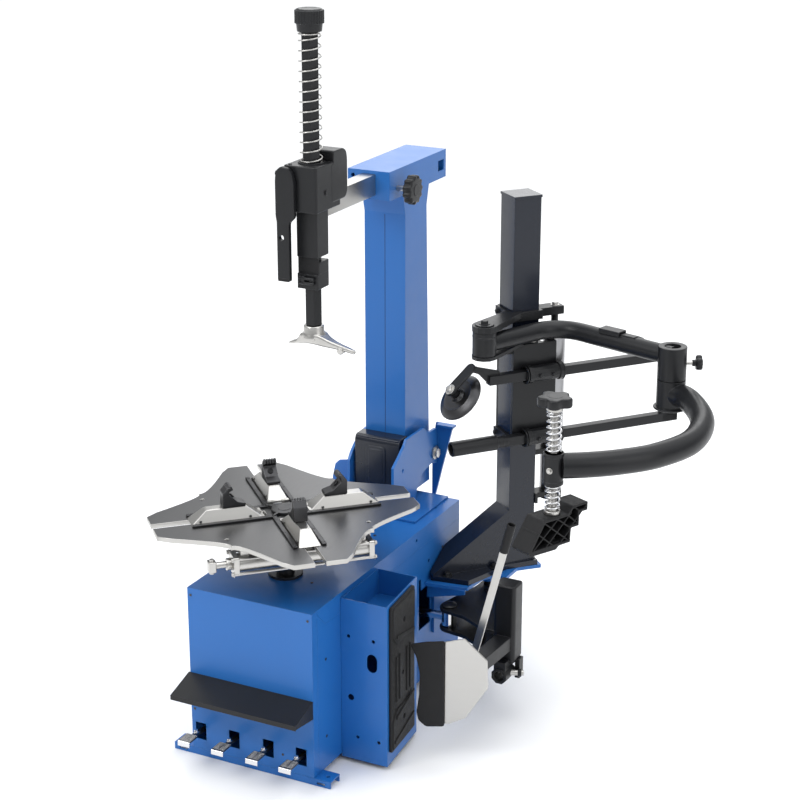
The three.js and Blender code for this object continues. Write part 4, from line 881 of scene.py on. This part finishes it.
turn(bm, (*PIN, 254), AXIS_Z, [(21, 0), (22, 1.5), (22, 4.5), (19, 7), (12, 8.6), (4, 9)], 44)
shell = [(430, 368), (494, 368), (494, 428), (430, 428)]
plate(bm, shell, 222, (0, 0, 170), ease=12, rim=6)
plate(bm, [(436, 372), (490, 372), (490, 424), (436, 424)], 9, (0, 0, 163), ease=8, rim=2)
socket_outline = soften([(441, 113), (485, 113), (485, 157), (441, 157)], 13, 1)
plate(bm, socket_outline, 60, (0, 400, 0), AXIS_X, AXIS_Z, holes=[circle(463, 135, 14)], rim=1.5)
block(bm, 446, 480, 344, 396, 150, 176, 1.2)
plate(bm, [(486, 396), (500, 396), (500, 420), (486, 420)], 58, (0, 0, 112), rim=1.2, mat=0)
turn(bm, (468, 372, 135), (48, 20, 0), [(7.5, 0), (8, 1), (8, 49), (7, 51)], 26, 1)
turn(bm, (500, 385, 135), (48, 20, 0), [(10, 0), (11, 1), (11, 9), (10, 10)], 26)
plate(bm, [(428, 96), (468, 96), (486, 380), (440, 380)], 40, (0, 0, 205), ease=4, rim=2)
block(bm, 404, 434, 380, 386, 196, 246, 1.0)
for x, y in ((310, 600), (390, 400)):
    hex_head(bm, (x, y, 254), AXIS_Z, 14, 7, 0, 1.4)
piece("breaker_elbow", bm, [BLACK, STEEL], "breaker_arm", ["breaker_arm"])

BLADE = Vector((340, 60, 0))
BLADE_U = Vector((208, 35, 0)).normalized()
BLADE_N = BLADE_U.cross(AXIS_Z)


def blade_sheet(bm, outline, near, thick):
    """Upright sheet in the blade's plane with eased rims, from its outline."""
    outline = soften([Vector(p) for p in outline], 4, 5)
    centre = sum(outline, Vector((0, 0))) / len(outline)
    rim = 1.2
    rings = []
    for scale in (1.0, 0.985, 0.9, 0.75, 0.55, 0.3, 0.02):
        rings.append([(centre + (p - centre) * scale, scale) for p in outline])

    def lift(p, face):
        return BLADE + BLADE_U * p.x + AXIS_Z * p.y + BLADE_N * (near + face)

    eased = [[lift(p, thick if s < 1 else thick - rim) for p, s in ring] for ring in rings]
    backs = [[lift(p, 0 if s < 1 else rim) for p, s in ring] for ring in reversed(rings)]
    loft(bm, backs + eased)


bm = bmesh.new()
blade_outline = [(0, 326), (91, 350), (143, 366), (203, 312), (206, 234), (148, 140), (103, 115),
                 (41, 106), (16, 140), (28, 254)]
blade_sheet(bm, blade_outline, 0.4, 5.2)
piece("breaker_sheet", bm, [STEEL], "breaker_arm", ["breaker_blade"])
bm = bmesh.new()
cover_outline = [(-3, 332), (40, 345), (91, 354), (91, 108), (41, 100), (20, 116), (15, 140),
                 (22, 190), (24, 250), (14, 300)]
plate(bm, cover_outline, 5, BLADE + BLADE_N * 6.3, BLADE_U, AXIS_Z, ease=7, rim=1.8)
piece("sheet_guard", bm, [RUBBER], "breaker_arm", ["blade_cover"])

bm = bmesh.new()
foot, top = Vector((465.6, 150, 248.2)), Vector((557, 150, 602))
lean = (top - foot).normalized()
across = AXIS_Y.cross(lean)
plate(bm, [(-10, 0), (10, 0), (10, (top - foot).length), (-10, (top - foot).length)], 6, foot, across,
      lean, ease=2, rim=1.0)
piece("flat_handle", bm, [STEEL], "breaker_arm", ["blade_handle"])
bm = bmesh.new()
bored(bm, Vector((557, 147, 602)) + lean * 12, lean, 12, 8.6, 64, 1.6, 36)
turn(bm, Vector((557, 147, 602)) - lean * 6, lean, [(10.5, 0), (12, 1.5), (12, 19), (11.8, 20)], 36)
piece("handle_grip", bm, [RUBBER], "breaker_arm", ["blade_grip"])

# ------------------------------------------------------------------ bumper pad
bm = bmesh.new()
face_a, face_b = Vector((319, -40, 0)), Vector((300.1, 167, 0))
pad_u = (face_b - face_a).normalized()
pad_n = pad_u.cross(AXIS_Z)
pad_o = face_a + pad_n * 0.3
pad_holes = [circle(91, z, 6) for z in (120, 247, 400)]
plate(bm, [(10, 48), (172, 48), (172, 462), (10, 462)], 8, pad_o, pad_u, AXIS_Z, holes=pad_holes,
      ease=8, rim=1.8)
RIB_CLEARANCE = 26
for low, way in ((54, 1), (456, -1)):
    body = [(16, low), (166, low), (166, low + way * 81), (140, low + way * 107),
            (42, low + way * 107), (16, low + way * 81)]
    hole_z = 120 if way > 0 else 400
    plate(bm, body, 11.5, pad_o, pad_u, AXIS_Z, holes=[circle(91, hole_z, 7)], ease=6, rim=2.2)
    for k in range(4):
        z = low + way * (14 + 22 * k)
        rib = [(24 + 4 * k, z), (158, z + way * 26), (158, z + way * 36), (24 + 4 * k, z + way * 10)]
        if abs(z + way * 18 - hole_z) > RIB_CLEARANCE:
            plate(bm, rib, 3.6, pad_o + pad_n * 10.9, pad_u, AXIS_Z, ease=3, rim=1.4)
for u0 in (40, 62, 112, 134):
    plate(bm, [(u0, 182), (u0 + 8, 182), (u0 + 8, 312), (u0, 312)], 4, pad_o + pad_n * 7, pad_u,
          AXIS_Z, ease=3, rim=1.5)
piece("ribbed_pad", bm, [RUBBER], "base", ["bumper_pad"])

# ------------------------------------------------------------------ pedals
for i, x in enumerate((-157, -55, 48, 146), 1):
    bm = bmesh.new()
    plate(bm, [(-90, 55), (-90, 69), (-236, 83), (-262, 83), (-262, 76)], 8, (x - 4, 0, 0), AXIS_Y,
          AXIS_Z, ease=3, rim=1.0)
    bored(bm, (x - 10, -90, 62), AXIS_X, 11, 5.4, 20, 1, 32)
    block(bm, x - 18, x + 18, -270, -229, 79, 82.4, 0.9, 0, 3)
    plate(bm, [(-274, 68), (-270.5, 68), (-268, 80), (-270, 82.6), (-273, 81)], 36, (x - 18, 0, 0),
          AXIS_Y, AXIS_Z, ease=1, rim=0.6, mat=1)
    for k in range(7):
        y = -265 + 5.2 * k
        plate(bm, [(y, 82.2), (y + 2.6, 82.2), (y + 2.2, 83.4), (y + 0.4, 83.4)], 32, (x - 16, 0, 0),
              AXIS_Y, AXIS_Z, rim=0.3)
    hex_head(bm, (x, -212, 81.4), AXIS_Z, 10, 5, 1, 1.2)
    piece(f"tread_{i}", bm, [TABLE, CHROME], f"pedal_{i}", [f"pedal_{i}"])

# ------------------------------------------------------------------ cabinet fittings
bm = bmesh.new()
for x, z in ((-174, 135), (92, 66), (172, 462), (-174, 462)):
    drum(bm, (x, -188.1, z), (0, -1, 0), 3.6, 1.2, 0.5, 20)
for x, y in ((90, -20), (90, 330), (-90, 330)):
    drum(bm, (x, y, 482.1), AXIS_Z, 4.2, 1.6, 0.6, 20)
for y, z in ((-120, 330), (240, 380), (560, 380), (600, 120), (260, 110), (-120, 110)):
    drum(bm, (184.1, y, z), AXIS_X, 4.0, 1.2, 0.5, 20)
for x, y in ((-130, 500), (-130, 640)):
    hex_head(bm, (x, y, 488.4), AXIS_Z, 15, 8, 1, 1.8)
piece("cabinet_screws", bm, [DARK, STEEL], "base")
bm = bmesh.new()
for x, y in ((236, 488), (330, 600), (392, 710), (228, 650)):
    hex_head(bm, (x, y, 328.4), AXIS_Z, 17, 9, 0, 2)
piece("tower_bolts", bm, [BLACK], "base")

# ------------------------------------------------------------------ camera, lights and floor
# Row-frame metres from here on.
AZIMUTH, ELEVATION = math.radians(27), math.radians(19.1)
back = Vector((math.sin(AZIMUTH) * math.cos(ELEVATION),
               -math.cos(AZIMUTH) * math.cos(ELEVATION),
               math.sin(ELEVATION)))
camera_data = bpy.data.cameras.new("camera")
camera_data.lens = 87.75
camera_data.sensor_width = 36
camera_data.clip_end = 900
camera = bpy.data.objects.new("camera", camera_data)
camera.location = (2.0272, -4.3894, 2.5796)
camera.rotation_mode = "QUATERNION"
camera.rotation_quaternion = (-back).to_track_quat("-Z", "Y")
bpy.context.scene.collection.objects.link(camera)
bpy.context.scene.camera = camera
bpy.context.scene.view_settings.view_transform = "Standard"

world = bpy.data.worlds.new("studio")
world.use_nodes = True
sky = world.node_tree.nodes
sky_link = world.node_tree.links.new
heading = sky.new("ShaderNodeTexCoord")
height = sky.new("ShaderNodeSeparateXYZ")
glow = sky.new("ShaderNodeMapRange")
for key, value in (("From Min", 0.25), ("From Max", 0.75), ("To Min", 0.34), ("To Max", 1.42)):
    socket(glow, key, value)
sky_link(heading.outputs["Generated"], height.inputs[0])
sky_link(height.outputs["Z"], glow.inputs["Value"])
sky_link(glow.outputs["Result"], sky["Background"].inputs["Strength"])
socket(sky["Background"], "Color", (0.97, 0.985, 1.0, 1))
bpy.context.scene.world = world


def softbox(name, place, aim, size, power):
    data = bpy.data.lights.new(name, "AREA")
    data.shape = "RECTANGLE"
    data.size, data.size_y = size
    data.energy = power
    lamp = bpy.data.objects.new(name, data)
    lamp.location = place
    lamp.rotation_mode = "QUATERNION"
    lamp.rotation_quaternion = (Vector(aim) - Vector(place)).to_track_quat("-Z", "Y")
    bpy.context.scene.collection.objects.link(lamp)


softbox("key", (-2.6, -3.6, 4.2), (0, 0, 0.8), (2.6, 2.6), 105)
softbox("fill", (4.4, -1.2, 2.6), (0, 0, 0.9), (2.4, 3.2), 36)
softbox("top", (0.2, 0.6, 5.0), (0, 0, 0.5), (3.2, 3.2), 55)
softbox("rear", (-1.5, 4.2, 3.0), (0, 0, 1.0), (3.0, 2.5), 40)

floor_mat = bpy.data.materials.new("floor")
floor_mat.use_nodes = True
floor_shader = floor_mat.node_tree.nodes["Principled BSDF"]
floor_noise = floor_mat.node_tree.nodes.new("ShaderNodeTexNoise")
socket(floor_noise, "Scale", 3.0)
floor_tint = floor_mat.node_tree.nodes.new("ShaderNodeMapRange")
socket(floor_tint, "To Min", 0.94)
socket(floor_tint, "To Max", 0.97)
floor_mat.node_tree.links.new(floor_noise.outputs["Fac"], floor_tint.inputs["Value"])
floor_mat.node_tree.links.new(floor_tint.outputs["Result"], floor_shader.inputs["Base Color"])
socket(floor_shader, "Roughness", 0.8)
floor_mesh = bpy.data.meshes.new("floor")
FLOOR_HALF, FLOOR_DROP = 300, 0.0005
floor_mesh.from_pydata([(-FLOOR_HALF, -FLOOR_HALF, 0), (FLOOR_HALF, -FLOOR_HALF, 0),
                        (FLOOR_HALF, FLOOR_HALF, 0), (-FLOOR_HALF, FLOOR_HALF, 0)], [], [(0, 1, 2, 3)])
floor_mesh.materials.append(floor_mat)
floor = bpy.data.objects.new("floor", floor_mesh)
floor.location = (0, 0, -FLOOR_DROP)
bpy.context.scene.collection.objects.link(floor)
